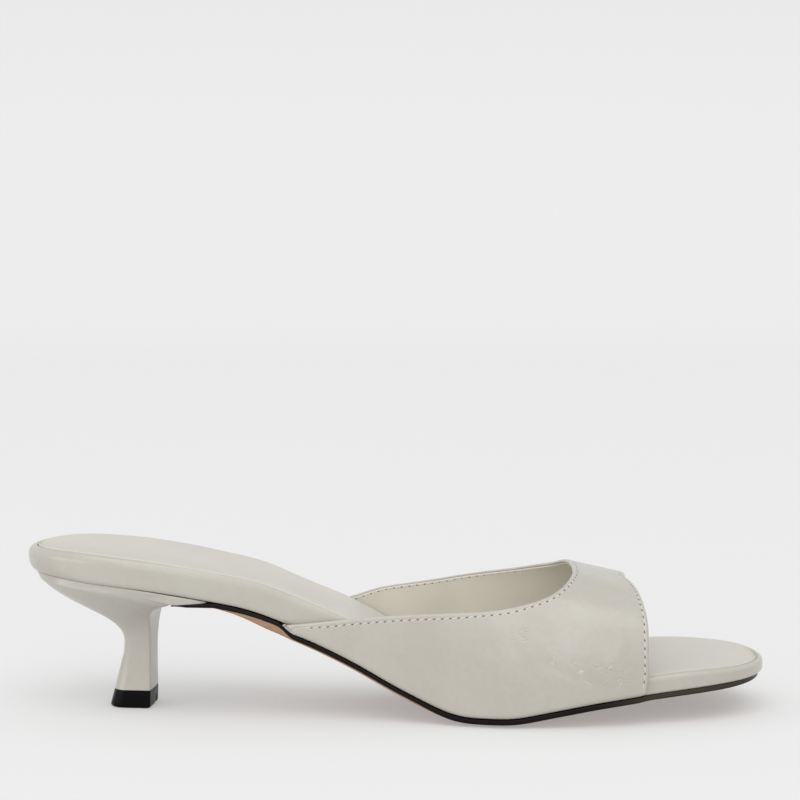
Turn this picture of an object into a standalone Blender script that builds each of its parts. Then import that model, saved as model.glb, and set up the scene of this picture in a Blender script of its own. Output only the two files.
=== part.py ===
"""Kitten-heel mule with an open toe, for the right foot, built from its separate pieces.

The toe points along +X, the outer side of the foot faces -Y and the floor is z = 0.
"""

import math

import bmesh
import bpy
import numpy as np

MM = 0.001

# Driving sizes
LENGTH = 246.0 * MM             # back of the footbed to the tip of the toe
SEAT_WIDTH = 53.5 * MM          # footbed across the heel
BALL_WIDTH = 76.0 * MM          # footbed across the ball of the foot
SEAT_LIFT = 43.0 * MM           # rise of the footbed's underside from the ball to the heel
TOE_SPRING = 10.3 * MM          # rise of the tread from the ball to the toe
CAMBER = 0.9 * MM               # rise of the forefoot sole's sides over its middle
BED_BACK = 9.4 * MM             # thickness of the wrapped footbed under the heel and waist
BED_FRONT = 5.6 * MM            # thickness of the wrapped footbed at the toes
BED_TIP = 4.0 * MM              # thickness of the footbed's edge at the tip of the toe
OUTSOLE_THICKNESS = 1.8 * MM
OUTSOLE_SKIVED = 0.7 * MM       # outsole at the heel breast, where it is pared thin
UPPER_WALL = 1.6 * MM           # outer leather and lining together
INSOLE_THICKNESS = 1.2 * MM
INSOLE_RECESS = 1.2 * MM        # depth of the footbed's recess for the insole
RIM_BACK = 3.0 * MM             # rim left beside the insole at the back of the heel
RIM_SIDE = 1.9 * MM             # rim left beside the insole everywhere else
BED_DISH = 1.0 * MM             # hollow across the middle of the footbed
INSTEP_HEIGHT = 47.2 * MM       # top of the upper at the throat, above the floor
TOPLINE_HEIGHT = 37.3 * MM      # outer top edge of the upper beside the ball, above the floor
UPPER_BACK = 85.0 * MM          # back corner of the upper, from the back of the footbed
UPPER_THROAT = 182.0 * MM       # middle of the throat, from the back of the footbed
UPPER_FRONT = 203.6 * MM        # front edge of the upper, from the back of the footbed
LASTING_MARGIN = 10.0 * MM      # upper turned in under the footbed
FEATHER_RADIUS = 1.6 * MM       # bend between the upper's wall and its margin, outside
FEATHER_INSIDE = 0.4 * MM       # the same bend on the inside
HEEL_BREAST = 49.6 * MM         # top of the heel's front face, from the back of the footbed
HEEL_WING = 60.4 * MM           # front of the heel's cover, from the back of the footbed
SEAT_INSET = 0.8 * MM           # heel's seat inside the footbed's side
SEAT_INSET_BACK = 2.7 * MM      # the same at the back of the heel
SEAT_EDGE = 0.6 * MM            # upright edge of the heel's seat
WING_EDGE = 0.15 * MM           # thickness of the wing's front edge
WING_DEPTH = 3.3 * MM           # drop of the outsole below the footbed at the heel breast
WELT_INSET = 0.7 * MM           # outsole's edge inside the upper's side
TIP_LENGTH = 14.4 * MM          # top piece at the floor, front to back
TIP_WIDTH = 15.0 * MM           # top piece at the floor, side to side
TIP_SETBACK = 0.1 * MM          # top piece's front at the floor behind its front at the top
TIP_CHAMFER = 0.8 * MM
HEEL_TURN = math.radians(3.5)   # the heel's front face looks a little to the outer side

# Clearances
GAP = 0.3 * MM                  # between pieces that lie on each other
SIDE_GAP = 0.5 * MM             # between the upper's wall and the footbed's side
WING_CLEAR = 4.2 * MM           # from the wing's front edge to where the outsole meets the bed

# Places and reaches along the shoe, as shares of its length
TREAD_START = 0.592             # flat of the tread under the ball
TREAD_END = 0.645
WALL_STEP = 0.014               # reach of the sole's step around the upper's edge
STEP_CLEAR = 0.008              # kept between that step and the upper
SKIVE_REACH = 0.08              # reach over which the outsole is pared thin
WIDEN_START = 0.20              # the footbed widens from the seat's width to the ball's
WIDEN_REACH = 0.46
THIN_START = 0.42               # the footbed thins towards the forefoot
THIN_REACH = 0.40
TIP_THIN_START = 0.86           # the footbed's edge thins towards the tip of the toe
CAMBER_START = 0.36             # the sole's sides rise from here
CAMBER_REACH = 0.12
RIM_REACH = 0.16                # the rim is wider this far from the back of the heel

# Mesh density
STATIONS = 52
ACROSS = 9
UPPER_ROWS = 15
UPPER_STEPS = 20
ARCH_POINTS = 400
TOPLINE_POINTS = 300
NORMAL_STEP = 0.002             # angle over which the outline's direction is measured
STATION_CLEAR = 0.45            # even sections this share of their spacing from a mark go
MERGE = 0.001 * MM
END_SPAN = 12.0 * MM            # width below which a plate's section flattens to its end


class Table:
    """Sections in rows with named columns, read as smooth curves along the first column."""

    def __init__(self, columns, rows, round_ends=False):
        self.columns = columns
        self.values = np.array(rows, dtype=float)
        self.round_ends = round_ends

    def read(self, name, place):
        """Monotone cubic curve through one column; with round ends it runs on the angle
        whose cosine gives the place, so that the outline closes as a rounded end."""
        knots = self.values[:, 0]
        heights = self.values[:, self.columns.index(name)]
        place = np.clip(np.asarray(place, dtype=float), knots[0], knots[-1])
        if self.round_ends:
            knots = np.arccos(1.0 - 2.0 * knots)
            place = np.arccos(1.0 - 2.0 * place)
        widths = np.diff(knots)
        slopes = np.diff(heights) / widths
        same = slopes[:-1] * slopes[1:] > 0.0
        total = np.where(same, slopes[:-1] + slopes[1:], 1.0)
        middle = np.where(same, 2.0 * slopes[:-1] * slopes[1:] / total, 0.0)
        tangents = np.concatenate(([slopes[0]], middle, [slopes[-1]]))
        cell = np.clip(np.searchsorted(knots, place) - 1, 0, len(widths) - 1)
        t = (place - knots[cell]) / widths[cell]
        rise = heights[cell + 1] - heights[cell]
        start = tangents[cell] * widths[cell]
        end = tangents[cell + 1] * widths[cell]
        return (heights[cell] + start * t + (3.0 * rise - 2.0 * start - end) * t ** 2
                + (start + end - 2.0 * rise) * t ** 3)


# Half widths of the footbed as shares of its width at that place
OUTLINE = Table(("along", "outer", "inner"), [
    (0.00, 0.000, 0.000),
    (0.02, 0.262, 0.262),
    (0.05, 0.383, 0.387),
    (0.10, 0.467, 0.477),
    (0.15, 0.495, 0.505),
    (0.20, 0.492, 0.492),
    (0.30, 0.452, 0.385),
    (0.40, 0.407, 0.270),
    (0.50, 0.421, 0.280),
    (0.60, 0.474, 0.367),
    (0.66, 0.500, 0.438),
    (0.72, 0.499, 0.484),
    (0.78, 0.480, 0.493),
    (0.84, 0.441, 0.474),
    (0.90, 0.385, 0.437),
    (0.95, 0.308, 0.370),
    (0.98, 0.215, 0.270),
    (1.00, 0.000, 0.000),
], round_ends=True)

# Underside of the footbed: heel as a share of the seat lift, toe of the toe spring
BED_LINE = Table(("along", "heel", "toe"), [
    (0.00, 0.960, 0.000),
    (0.05, 0.968, 0.000),
    (0.10, 0.948, 0.000),
    (0.15, 0.916, 0.000),
    (0.20, 0.872, 0.000),
    (0.25, 0.819, 0.000),
    (0.30, 0.760, 0.000),
    (0.35, 0.653, 0.000),
    (0.40, 0.526, 0.000),
    (0.45, 0.376, 0.000),
    (0.50, 0.214, 0.000),
    (0.55, 0.078, 0.000),
    (0.57, 0.030, 0.000),
    (TREAD_START, 0.000, 0.000),
    (TREAD_END, 0.000, 0.000),
    (0.70, 0.000, 0.218),
    (0.75, 0.000, 0.437),
    (0.80, 0.000, 0.617),
    (0.85, 0.000, 0.777),
    (0.90, 0.000, 0.879),
    (0.95, 0.000, 0.951),
    (1.00, 0.000, 1.000),
])

# Crest of the last under the upper, as shares of the instep height
CREST = Table(("along", "height"), [
    (0.34, 1.849),
    (0.45, 1.571),
    (0.55, 1.352),
    (0.62, 1.198),
    (0.68, 1.086),
    (0.72, 1.022),
    (0.74, 1.000),
    (0.78, 0.952),
    (0.80, 0.928),
    (0.82, 0.901),
    (0.85, 0.847),
])

# Top edge of the upper: way from its back corner to the throat, shares of topline height
TOPLINE = Table(("way", "outer", "inner"), [
    (0.000, 0.839, 0.836),
    (0.070, 0.855, 0.850),
    (0.190, 0.896, 0.878),
    (0.350, 0.944, 0.988),
    (0.540, 0.984, 1.048),
    (0.680, 1.011, 1.092),
    (0.800, 1.061, 1.123),
    (0.890, 1.123, 1.162),
    (0.945, 1.188, 1.192),
    (0.985, 1.250, 1.250),
    (1.000, 1.268, 1.268),
])

# Front edge of the upper: way up the wall to the crest, set forward as shares of length
FRONT_EDGE = Table(("up", "outer", "inner"), [
    (0.00, 0.0012, 0.0012),
    (0.12, 0.0032, 0.0020),
    (0.40, 0.0032, 0.0012),
    (0.62, -0.0010, -0.0062),
    (0.80, -0.0042, -0.0130),
    (0.92, -0.0078, -0.0140),
    (1.00, -0.0115, -0.0115),
])

# Heel from the top piece up. Heights are shares of the seat's height at the back,
# reaches are shares of the way to the breast, half widths are shares of the seat width,
# seat is how far the section has taken the seat's outline
HEEL_SECTIONS = Table(("back_height", "back", "front_height", "front", "half", "seat"), [
    (0.131, 0.575, 0.131, 0.839, 0.138, 0.00),
    (0.229, 0.597, 0.229, 0.839, 0.131, 0.00),
    (0.333, 0.621, 0.333, 0.839, 0.127, 0.00),
    (0.422, 0.641, 0.422, 0.840, 0.127, 0.00),
    (0.496, 0.645, 0.502, 0.841, 0.133, 0.02),
    (0.556, 0.633, 0.567, 0.844, 0.144, 0.05),
    (0.618, 0.593, 0.622, 0.847, 0.172, 0.10),
    (0.678, 0.522, 0.671, 0.852, 0.215, 0.20),
    (0.751, 0.403, 0.720, 0.861, 0.277, 0.36),
    (0.842, 0.248, 0.769, 0.881, 0.359, 0.60),
    (0.918, 0.139, 0.804, 0.919, 0.426, 0.82),
    (0.962, 0.093, 0.831, 0.972, 0.464, 0.94),
    (0.978, 0.075, 0.860, 0.992, 0.473, 0.98),
])

# Half outline of the heel's stem: a rounded back, then the way to the breast with the share
# of the half width, and across the breast's slightly crowned face
STEM_BACK_SHARE = 0.42
STEM_BACK_POINTS = 7
STEM_BACK_POWER = 2.5
STEM_FRONT = [(0.62, 1.00), (0.80, 1.00), (0.93, 0.99), (0.985, 0.97),
              (1.00, 0.92), (1.01, 0.48), (1.015, 0.00)]
BREAST_WAY = 0.9                # from here on the seat's section follows the breast as well
TURN_WAY = 0.74                 # middle of the top piece on the way to the breast

# Footbed wrap from its underside to the rim: inward in metres, up as a share of thickness
WRAP = [(1.0 * MM, 0.00), (0.25 * MM, 0.07), (0.0, 0.32), (0.0, 0.66), (0.35 * MM, 0.84),
        (1.0 * MM, 0.95)]
WRAP_BACK_ROUNDING = 1.6        # extra roundness of the wrap at the back of the heel
WRAP_BACK_REACH = 0.10          # share of the length over which it fades

# Bend between the upper's margin and its wall: inward and up, as shares of its radius
FEATHER = [(0.8, 0.0), (0.2, 0.38)]
MARGIN_MIDDLE = 0.55            # middle row of the margin, as a share of its width

ARCH_POWER = 3.3                # squareness of the arch over the forefoot; 2 would be round
FLAT_WAY = 0.44                 # share of the half width under which the sole stays flat


def ease(value):
    """Smooth step from 0 to 1."""
    value = np.clip(value, 0.0, 1.0)
    return value * value * (3.0 - 2.0 * value)


def share_of(x):
    return np.clip(x / LENGTH + 0.5, 0.0, 1.0)


def x_of(share):
    return (share - 0.5) * LENGTH


def sole_line(x):
    """Height of the footbed over the upper's margin: the stack at the ball, the seat lift
    and the toe spring."""
    share = share_of(x)
    stack = OUTSOLE_THICKNESS + UPPER_WALL + 2.0 * GAP
    return (stack + SEAT_LIFT * BED_LINE.read("heel", share)
            + TOE_SPRING * BED_LINE.read("toe", share))


def slant(x):
    """Length of the sloping sole for each unit of floor, which a thickness is measured across."""
    step = 0.5 * MM
    rise = (sole_line(x + step) - sole_line(x - step)) / (2.0 * step)
    return np.sqrt(1.0 + rise ** 2)


def camber(x, way):
    """Rise of the forefoot's sides; the middle of the tread stays flat."""
    along = ease((share_of(x) - CAMBER_START) / CAMBER_REACH)
    return CAMBER * along * ease((np.abs(way) - FLAT_WAY) / (1.0 - FLAT_WAY))


def step_up(x, place, sign):
    """1 on the upper's side of the place where the sole steps around its edge, 0 beyond."""
    return ease((sign * (share_of(x) - place / LENGTH) + STEP_CLEAR) / WALL_STEP + 1.0)


def bed_underside(x, way=1.0):
    """Underside of the footbed, lower before the upper's front edge, where no margin lies."""
    drop = (1.0 - step_up(x, UPPER_FRONT, -1.0)) * (UPPER_WALL + GAP)
    return sole_line(x) - drop * slant(x) + camber(x, way)


def bed_top(x):
    """Height of the footbed's rim."""
    share = share_of(x)
    front = BED_FRONT - UPPER_WALL - GAP
    over = BED_BACK + (front - BED_BACK) * ease((share - THIN_START) / THIN_REACH)
    tip = ease((share - TIP_THIN_START) / (1.0 - TIP_THIN_START))
    over = over + (BED_TIP - BED_FRONT) * tip
    return sole_line(x) + over * slant(x) + camber(x, 1.0)


def seat_back_height():
    """Height of the heel's seat at the back, just under the footbed."""
    return float(bed_underside(-LENGTH / 2.0)) - GAP


def outsole_top(x, way=1.0):
    """Top of the outsole, below the footbed, the upper's margin and the heel's wing."""
    meet = HEEL_WING + WING_CLEAR
    to_wing = (meet - share_of(x) * LENGTH) / (meet - HEEL_BREAST)
    margin = step_up(x, UPPER_BACK, 1.0) * (UPPER_WALL + GAP)
    return (sole_line(x) - (GAP + margin) * slant(x) + camber(x, way)
            - WING_DEPTH * np.clip(to_wing, 0.0, 1.0))


def tread(x, way=1.0):
    """Underside of the outsole, which is pared thin towards the heel breast."""
    full = ease((share_of(x) - HEEL_BREAST / LENGTH) / SKIVE_REACH)
    thickness = OUTSOLE_SKIVED + (OUTSOLE_THICKNESS - OUTSOLE_SKIVED) * full
    return outsole_top(x, way) - thickness * slant(x)


def bed_side(x, side):
    """Half width of the footbed on one side."""
    share = share_of(x)
    widen = ease((share - WIDEN_START) / WIDEN_REACH)
    return (SEAT_WIDTH + (BALL_WIDTH - SEAT_WIDTH) * widen) * OUTLINE.read(side, share)


def outline(angles, side, inset):
    """Points of the footbed's outline moved inwards along its own normal."""
    low = np.clip(angles - NORMAL_STEP, 0.0, math.pi)
    high = np.clip(angles + NORMAL_STEP, 0.0, math.pi)

    def place(angle):
        x = x_of((1.0 - np.cos(angle)) / 2.0)
        return np.stack([x, bed_side(x, side)], axis=-1)

    run = place(high) - place(low)
    run[angles <= 0.0] = (0.0, 1.0)
    run[angles >= math.pi] = (0.0, -1.0)
    run /= np.linalg.norm(run, axis=-1, keepdims=True)
    inward = np.stack([run[:, 1], -run[:, 0]], axis=-1)
    points = place(angles) + inward * np.reshape(inset, (-1, 1))
    points[:, 1] = np.maximum(points[:, 1], 0.0)
    return points


def stations(first=0.0):
    """Angles of the cross sections: even ones, and one at each place where the shape steps."""
    back = UPPER_BACK / LENGTH - STEP_CLEAR
    front = UPPER_FRONT / LENGTH + STEP_CLEAR
    marks = [HEEL_BREAST / LENGTH, TREAD_START, TREAD_END, back - WALL_STEP,
             back - 0.5 * WALL_STEP, back, front, front + 0.5 * WALL_STEP, front + WALL_STEP]
    marks = np.arccos(1.0 - 2.0 * np.array(marks))
    even = np.linspace(0.0, math.pi, STATIONS + 1)
    near = np.abs(even[:, None] - marks[None, :]).min(axis=1)
    free = (near > STATION_CLEAR * even[1]) | (even == 0.0) | (even == math.pi)
    angles = np.sort(np.concatenate([even[free], marks]))
    return angles[angles >= math.acos(1.0 - 2.0 * first) - 1e-9]


def mirror_y(side):
    return -1.0 if side == "outer" else 1.0


def across(left, right, height):
    """Grid from the outer edge to the inner edge; height gives z for x and the way across,
    which is 1 at the edges and everywhere at a closed end, so that the ends stay points."""
    way = np.linspace(-1.0, 1.0, ACROSS + 1)
    blend = ((way + 1.0) / 2.0)[None, :, None]
    flat = left[:, None, :] * (1.0 - blend) + right[:, None, :] * blend
    open_share = np.minimum(np.linalg.norm(right - left, axis=-1) / END_SPAN, 1.0)
    height_way = 1.0 - (1.0 - np.abs(way[None, :])) * open_share[:, None]
    z = height(flat[..., 0], height_way)
    return np.concatenate([flat, z[..., None]], axis=-1)


def slab(left, right, low, high):
    """Closed plate between two height functions; its ends may be cut or closed."""
    under = across(left, right, low)
    over = across(left, right, high)
    sides = [np.stack([under[:, place], over[:, place]], axis=1) for place in (0, -1)]
    back = np.stack([under[0], over[0]], axis=1)
    return [under, over, back, *sides]


def edges(angles, inset):
    """Outer and inner edge of the footbed as signed plan points."""
    left = outline(angles, "outer", inset) * (1.0, -1.0)
    right = outline(angles, "inner", inset)
    return left, right


def grid_faces(rows, columns, start):
    """Four-sided faces of a grid of points stored row after row."""
    index = np.arange(rows * columns).reshape(rows, columns) + start
    corners = [index[:-1, :-1], index[1:, :-1], index[1:, 1:], index[:-1, 1:]]
    return np.stack([corner.ravel() for corner in corners], axis=1)


def add_object(name, grids, color, roughness):
    """One closed object from grids that share their borders."""
    points = []
    faces = []
    start = 0
    for grid in grids:
        rows, columns = grid.shape[:2]
        points.extend(grid.reshape(-1, 3).tolist())
        faces.extend(grid_faces(rows, columns, start).tolist())
        start += rows * columns
    mesh = bpy.data.meshes.new(name)
    mesh.from_pydata(points, [], faces)
    shape = bmesh.new()
    shape.from_mesh(mesh)
    bmesh.ops.remove_doubles(shape, verts=shape.verts, dist=MERGE)
    bmesh.ops.dissolve_degenerate(shape, edges=shape.edges, dist=MERGE)
    bmesh.ops.recalc_face_normals(shape, faces=shape.faces)
    shape.to_mesh(mesh)
    shape.free()
    mesh.shade_smooth()
    mesh.set_sharp_from_angle(angle=math.radians(35.0))
    material = bpy.data.materials.new(name)
    material.use_nodes = True
    shader = material.node_tree.nodes["Principled BSDF"]
    shader.inputs["Base Color"].default_value = (*color, 1.0)
    shader.inputs["Roughness"].default_value = roughness
    shader.inputs["Metallic"].default_value = 0.0
    mesh.materials.append(material)
    piece = bpy.data.objects.new(name, mesh)
    parts.objects.link(piece)
    return piece


def rim_width(share):
    return RIM_SIDE + (RIM_BACK - RIM_SIDE) * (1.0 - ease(share / RIM_REACH))


def recess_floor(x, way):
    return bed_top(x) - INSOLE_RECESS * slant(x) - BED_DISH * (1.0 - way ** 2)


def make_footbed():
    """Wrapped footbed: a side that rounds over to the rim, and a recess for the insole."""
    angles = stations()
    share = (1.0 - np.cos(angles)) / 2.0
    rounding = 1.0 + WRAP_BACK_ROUNDING * (1.0 - ease(share / WRAP_BACK_REACH))
    rim = rim_width(share)
    levels = [(inward * rounding, np.full_like(share, up)) for inward, up in WRAP]
    levels.append((rim, np.ones_like(share)))
    grids = []
    for side in ("outer", "inner"):
        columns = []
        for inward, up in levels:
            plan = outline(angles, side, np.minimum(inward, rim))
            low = bed_underside(plan[:, 0])
            z = low + up * (bed_top(plan[:, 0]) - low)
            columns.append(np.column_stack([plan[:, 0], mirror_y(side) * plan[:, 1], z]))
        plan = outline(angles, side, rim)
        floor = recess_floor(plan[:, 0], np.ones_like(plan[:, 0]))
        columns.append(np.column_stack([plan[:, 0], mirror_y(side) * plan[:, 1], floor]))
        grids.append(np.stack(columns, axis=1))
    first_inset = np.minimum(levels[0][0], rim)
    grids.append(across(*edges(angles, first_inset), bed_underside))
    grids.append(across(*edges(angles, rim), recess_floor))
    return add_object("footbed", grids, (0.64, 0.61, 0.54), 0.42)


def make_insole():
    """Thin insole that lies in the footbed's recess."""
    angles = stations()
    share = (1.0 - np.cos(angles)) / 2.0
    left, right = edges(angles, rim_width(share) + GAP)

    def level(lift):
        return lambda x, way: recess_floor(x, way) + lift * slant(x)

    sheet = slab(left, right, level(GAP), level(GAP + INSOLE_THICKNESS))
    return add_object("insole", sheet, (0.66, 0.63, 0.56), 0.50)


def make_outsole():
    """Thin outsole from the heel breast to the toe, widened under the upper."""
    angles = stations(HEEL_BREAST / LENGTH)
    share = (1.0 - np.cos(angles)) / 2.0
    x = x_of(share)
    under = step_up(x, UPPER_BACK, 1.0) * step_up(x, UPPER_FRONT, -1.0)
    left, right = edges(angles, GAP - under * (UPPER_WALL + SIDE_GAP - WELT_INSET))
    return add_object("outsole", slab(left, right, tread, outsole_top),
                      (0.03, 0.028, 0.026), 0.45)


def arch_section():
    """Side of the last as a squared arch from the feather line (1, 0) to the crest (0, 1),
    with its points spaced evenly along it."""
    turn = np.linspace(0.0, math.pi / 2.0, ARCH_POINTS)
    wide = np.cos(turn) ** (2.0 / ARCH_POWER)
    high = np.sin(turn) ** (2.0 / ARCH_POWER)
    wide[-1] = 0.0
    length = np.concatenate(([0.0], np.cumsum(np.hypot(np.diff(wide), np.diff(high)))))
    return length / length[-1], wide, high


def upper_foot(x, way=1.0):
    """Height of the upper's underside, where its margin lies on the outsole."""
    return sole_line(x) - (GAP + UPPER_WALL) * slant(x) + camber(x, way)


def crest(x):
    return INSTEP_HEIGHT * CREST.read("height", share_of(x))


def topline_start(side):
    """Place of the top edge for each way up the wall, found along the edge's own curve."""
    way_up, wide, high = arch_section()
    way = np.linspace(0.0, 1.0, TOPLINE_POINTS)
    x = UPPER_BACK + (UPPER_THROAT - UPPER_BACK) * way - LENGTH / 2.0
    foot = upper_foot(x) + FEATHER_RADIUS
    rise = (TOPLINE_HEIGHT * TOPLINE.read(side, way) - foot) / (crest(x) - foot)
    up = np.maximum.accumulate(np.interp(np.clip(rise, 0.0, 1.0), high, way_up))
    up[-1] = 1.0
    first = np.argmax(up > 0.0)
    return up[first:], x[first:]


def upper_side(side, inside):
    """Half of one face of the upper: rows from the margin's edge up to the crest, steps from
    the top edge to the front edge. The inside lies one wall within the outside."""
    way_up, wide, high = arch_section()
    up_at, x_at = topline_start(side)
    steps = np.linspace(0.0, 1.0, UPPER_STEPS + 1)
    depth = UPPER_WALL if inside else 0.0
    bend = FEATHER_INSIDE if inside else FEATHER_RADIUS
    rows = []
    front_low = UPPER_FRONT - LENGTH / 2.0 + LENGTH * float(FRONT_EDGE.read(side, 0.0))
    x = x_at[0] + (front_low - x_at[0]) * steps
    margin = [(LASTING_MARGIN, 0.0), (MARGIN_MIDDLE * LASTING_MARGIN, 0.0)]
    margin += [(depth + inward * bend, lift * bend) for inward, lift in FEATHER]
    for inward, lift in margin:
        half = bed_side(x, side)
        y = half + SIDE_GAP + UPPER_WALL - inward
        foot = upper_foot(x, np.minimum(y / half, 1.0)) + depth * slant(x)
        rows.append(np.column_stack([x, y, foot + lift]))
    for up in np.linspace(0.0, 1.0, UPPER_ROWS + 1):
        start = np.interp(up, up_at, x_at)
        end = UPPER_FRONT - LENGTH / 2.0 + LENGTH * float(FRONT_EDGE.read(side, up))
        x = start + (end - start) * steps
        foot = upper_foot(x) + depth * slant(x) + bend
        half = bed_side(x, side) + SIDE_GAP + UPPER_WALL - depth
        y = half * np.interp(up, way_up, wide)
        z = foot + (crest(x) - depth - foot) * np.interp(up, way_up, high)
        rows.append(np.column_stack([x, y, z]))
    grid = np.stack(rows, axis=0)
    grid[..., 1] *= mirror_y(side)
    return grid


def make_upper():
    """One-piece upper: a wall over the forefoot, open at the toe and the throat, with its
    margin turned in between footbed and outsole."""
    grids = []
    for side in ("outer", "inner"):
        outside = upper_side(side, False)
        inside = upper_side(side, True)
        borders = [np.stack([outside[:, place], inside[:, place]], axis=1) for place in (0, -1)]
        margin_edge = np.stack([outside[0], inside[0]], axis=1)
        grids += [outside, inside, margin_edge, *borders]
    return add_object("upper", grids, (0.64, 0.61, 0.54), 0.35)


def stem_half():
    """Half outline of the stem as the way from back to breast and the share of half width."""
    turn = np.linspace(0.0, math.pi / 2.0, STEM_BACK_POINTS)
    way = STEM_BACK_SHARE * (1.0 - np.cos(turn) ** (2.0 / STEM_BACK_POWER))
    half = np.sin(turn) ** (2.0 / STEM_BACK_POWER)
    front_way, front_half = zip(*STEM_FRONT)
    return np.concatenate([way, front_way]), np.concatenate([half, front_half])


def seat_half(way, side):
    """Half width of the seat's outline as a share of its widest, along the way to the wing."""
    x = x_of(np.clip(way, 0.0, 1.0) * HEEL_WING / LENGTH)
    return bed_side(x, side) / (SEAT_WIDTH / 2.0)


def turned(points, weight):
    """Turn a section about the middle of the top piece, its front towards the outer side."""
    centre = np.array([x_of(TURN_WAY * HEEL_BREAST / LENGTH), 0.0])
    angle = -HEEL_TURN * weight
    spin = np.array([[math.cos(angle), -math.sin(angle)], [math.sin(angle), math.cos(angle)]])
    return (points - centre) @ spin.T + centre


def heel_ring(back_x, front_x, half_width, seat, back_z, front_z):
    """Closed section of the heel, outer side first, from back to breast and round again."""
    way, stem = stem_half()
    sides = []
    for side in ("outer", "inner"):
        wide = seat_half(way, side)
        wide = np.where(way > BREAST_WAY, wide * stem, wide)
        x = back_x + (front_x - back_x) * way
        y = mirror_y(side) * half_width * (stem * (1.0 - seat) + wide * seat)
        sides.append(np.column_stack([x, y]))
    loop = np.concatenate([sides[0], sides[1][-2:0:-1]])
    loop = turned(loop, 1.0 - seat)
    place = np.clip((loop[:, 0] - back_x) / (front_x - back_x), 0.0, 1.0)
    z = back_z + (front_z - back_z) * place
    return np.column_stack([loop, z])


def cap(ring):
    """Strips across a closed section, between its outer and its inner side."""
    half = len(ring) // 2
    outer = ring[:half + 1]
    inner = np.concatenate([ring[:1], ring[:half - 1:-1]])
    return np.stack([outer, (outer + inner) / 2.0, inner], axis=1)


def close_ring(ring):
    return np.concatenate([ring, ring[:1]])


def make_heel():
    """Covered heel: a slim stem that flares up to the seat and a thin wing over the outsole."""
    seat_height = seat_back_height()
    rings = []
    for row in HEEL_SECTIONS.values:
        value = dict(zip(HEEL_SECTIONS.columns, row))
        rings.append(heel_ring(
            back_x=value["back"] * HEEL_BREAST - LENGTH / 2.0,
            front_x=value["front"] * HEEL_BREAST - LENGTH / 2.0,
            half_width=value["half"] * SEAT_WIDTH,
            seat=value["seat"],
            back_z=value["back_height"] * seat_height,
            front_z=value["front_height"] * seat_height))
    seat_ring = heel_ring(
        back_x=SEAT_INSET_BACK - LENGTH / 2.0,
        front_x=HEEL_WING - LENGTH / 2.0,
        half_width=SEAT_WIDTH / 2.0 - SEAT_INSET,
        seat=1.0, back_z=0.0, front_z=0.0)
    low_ring = seat_ring.copy()
    seat_ring[:, 2] = bed_underside(seat_ring[:, 0]) - GAP * slant(seat_ring[:, 0])
    below = outsole_top(low_ring[:, 0]) + GAP * slant(low_ring[:, 0])
    low_ring[:, 2] = np.where(low_ring[:, 0] > HEEL_BREAST - LENGTH / 2.0,
                              np.minimum(below, seat_ring[:, 2] - WING_EDGE),
                              seat_ring[:, 2] - SEAT_EDGE)
    rings.append(low_ring)
    rings.append(seat_ring)
    wall = np.stack([close_ring(ring) for ring in rings], axis=0)
    grids = [wall, cap(rings[0]), cap(rings[-1])]
    return add_object("heel", grids, (0.64, 0.61, 0.54), 0.38)


def make_top_piece():
    """Rubber top piece under the heel, wider at the floor, with a small chamfer."""
    row = dict(zip(HEEL_SECTIONS.columns, HEEL_SECTIONS.values[0]))
    top_back = row["back"] * HEEL_BREAST - LENGTH / 2.0
    top_front = row["front"] * HEEL_BREAST - LENGTH / 2.0
    top_z = row["back_height"] * seat_back_height() - GAP
    floor_front = top_front - TIP_SETBACK
    levels = [
        (0.0, floor_front - TIP_LENGTH + TIP_CHAMFER, floor_front - TIP_CHAMFER,
         TIP_WIDTH / 2.0 - TIP_CHAMFER),
        (TIP_CHAMFER, floor_front - TIP_LENGTH, floor_front, TIP_WIDTH / 2.0),
        (top_z, top_back, top_front, row["half"] * SEAT_WIDTH),
    ]
    rings = [heel_ring(back, front, half, 0.0, z, z) for z, back, front, half in levels]
    wall = np.stack([close_ring(ring) for ring in rings], axis=0)
    return add_object("top_piece", [wall, cap(rings[0]), cap(rings[-1])],
                      (0.012, 0.012, 0.013), 0.30)


for old in list(bpy.data.objects):
    bpy.data.objects.remove(old, do_unlink=True)
parts = bpy.data.collections.new("mule")
bpy.context.scene.collection.children.link(parts)

make_outsole()
make_footbed()
make_insole()
make_upper()
make_heel()
make_top_piece()
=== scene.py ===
"""Dresses a kitten-heel mule for the right foot: its leathers, stitching, sole paint and stage.

Each surface is worked out from the shoe's own sizes in the CAD model's frame, in metres.
The toe points along +X, the outer side of the foot faces -Y and the floor is z = 0.
"""

import math

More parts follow.
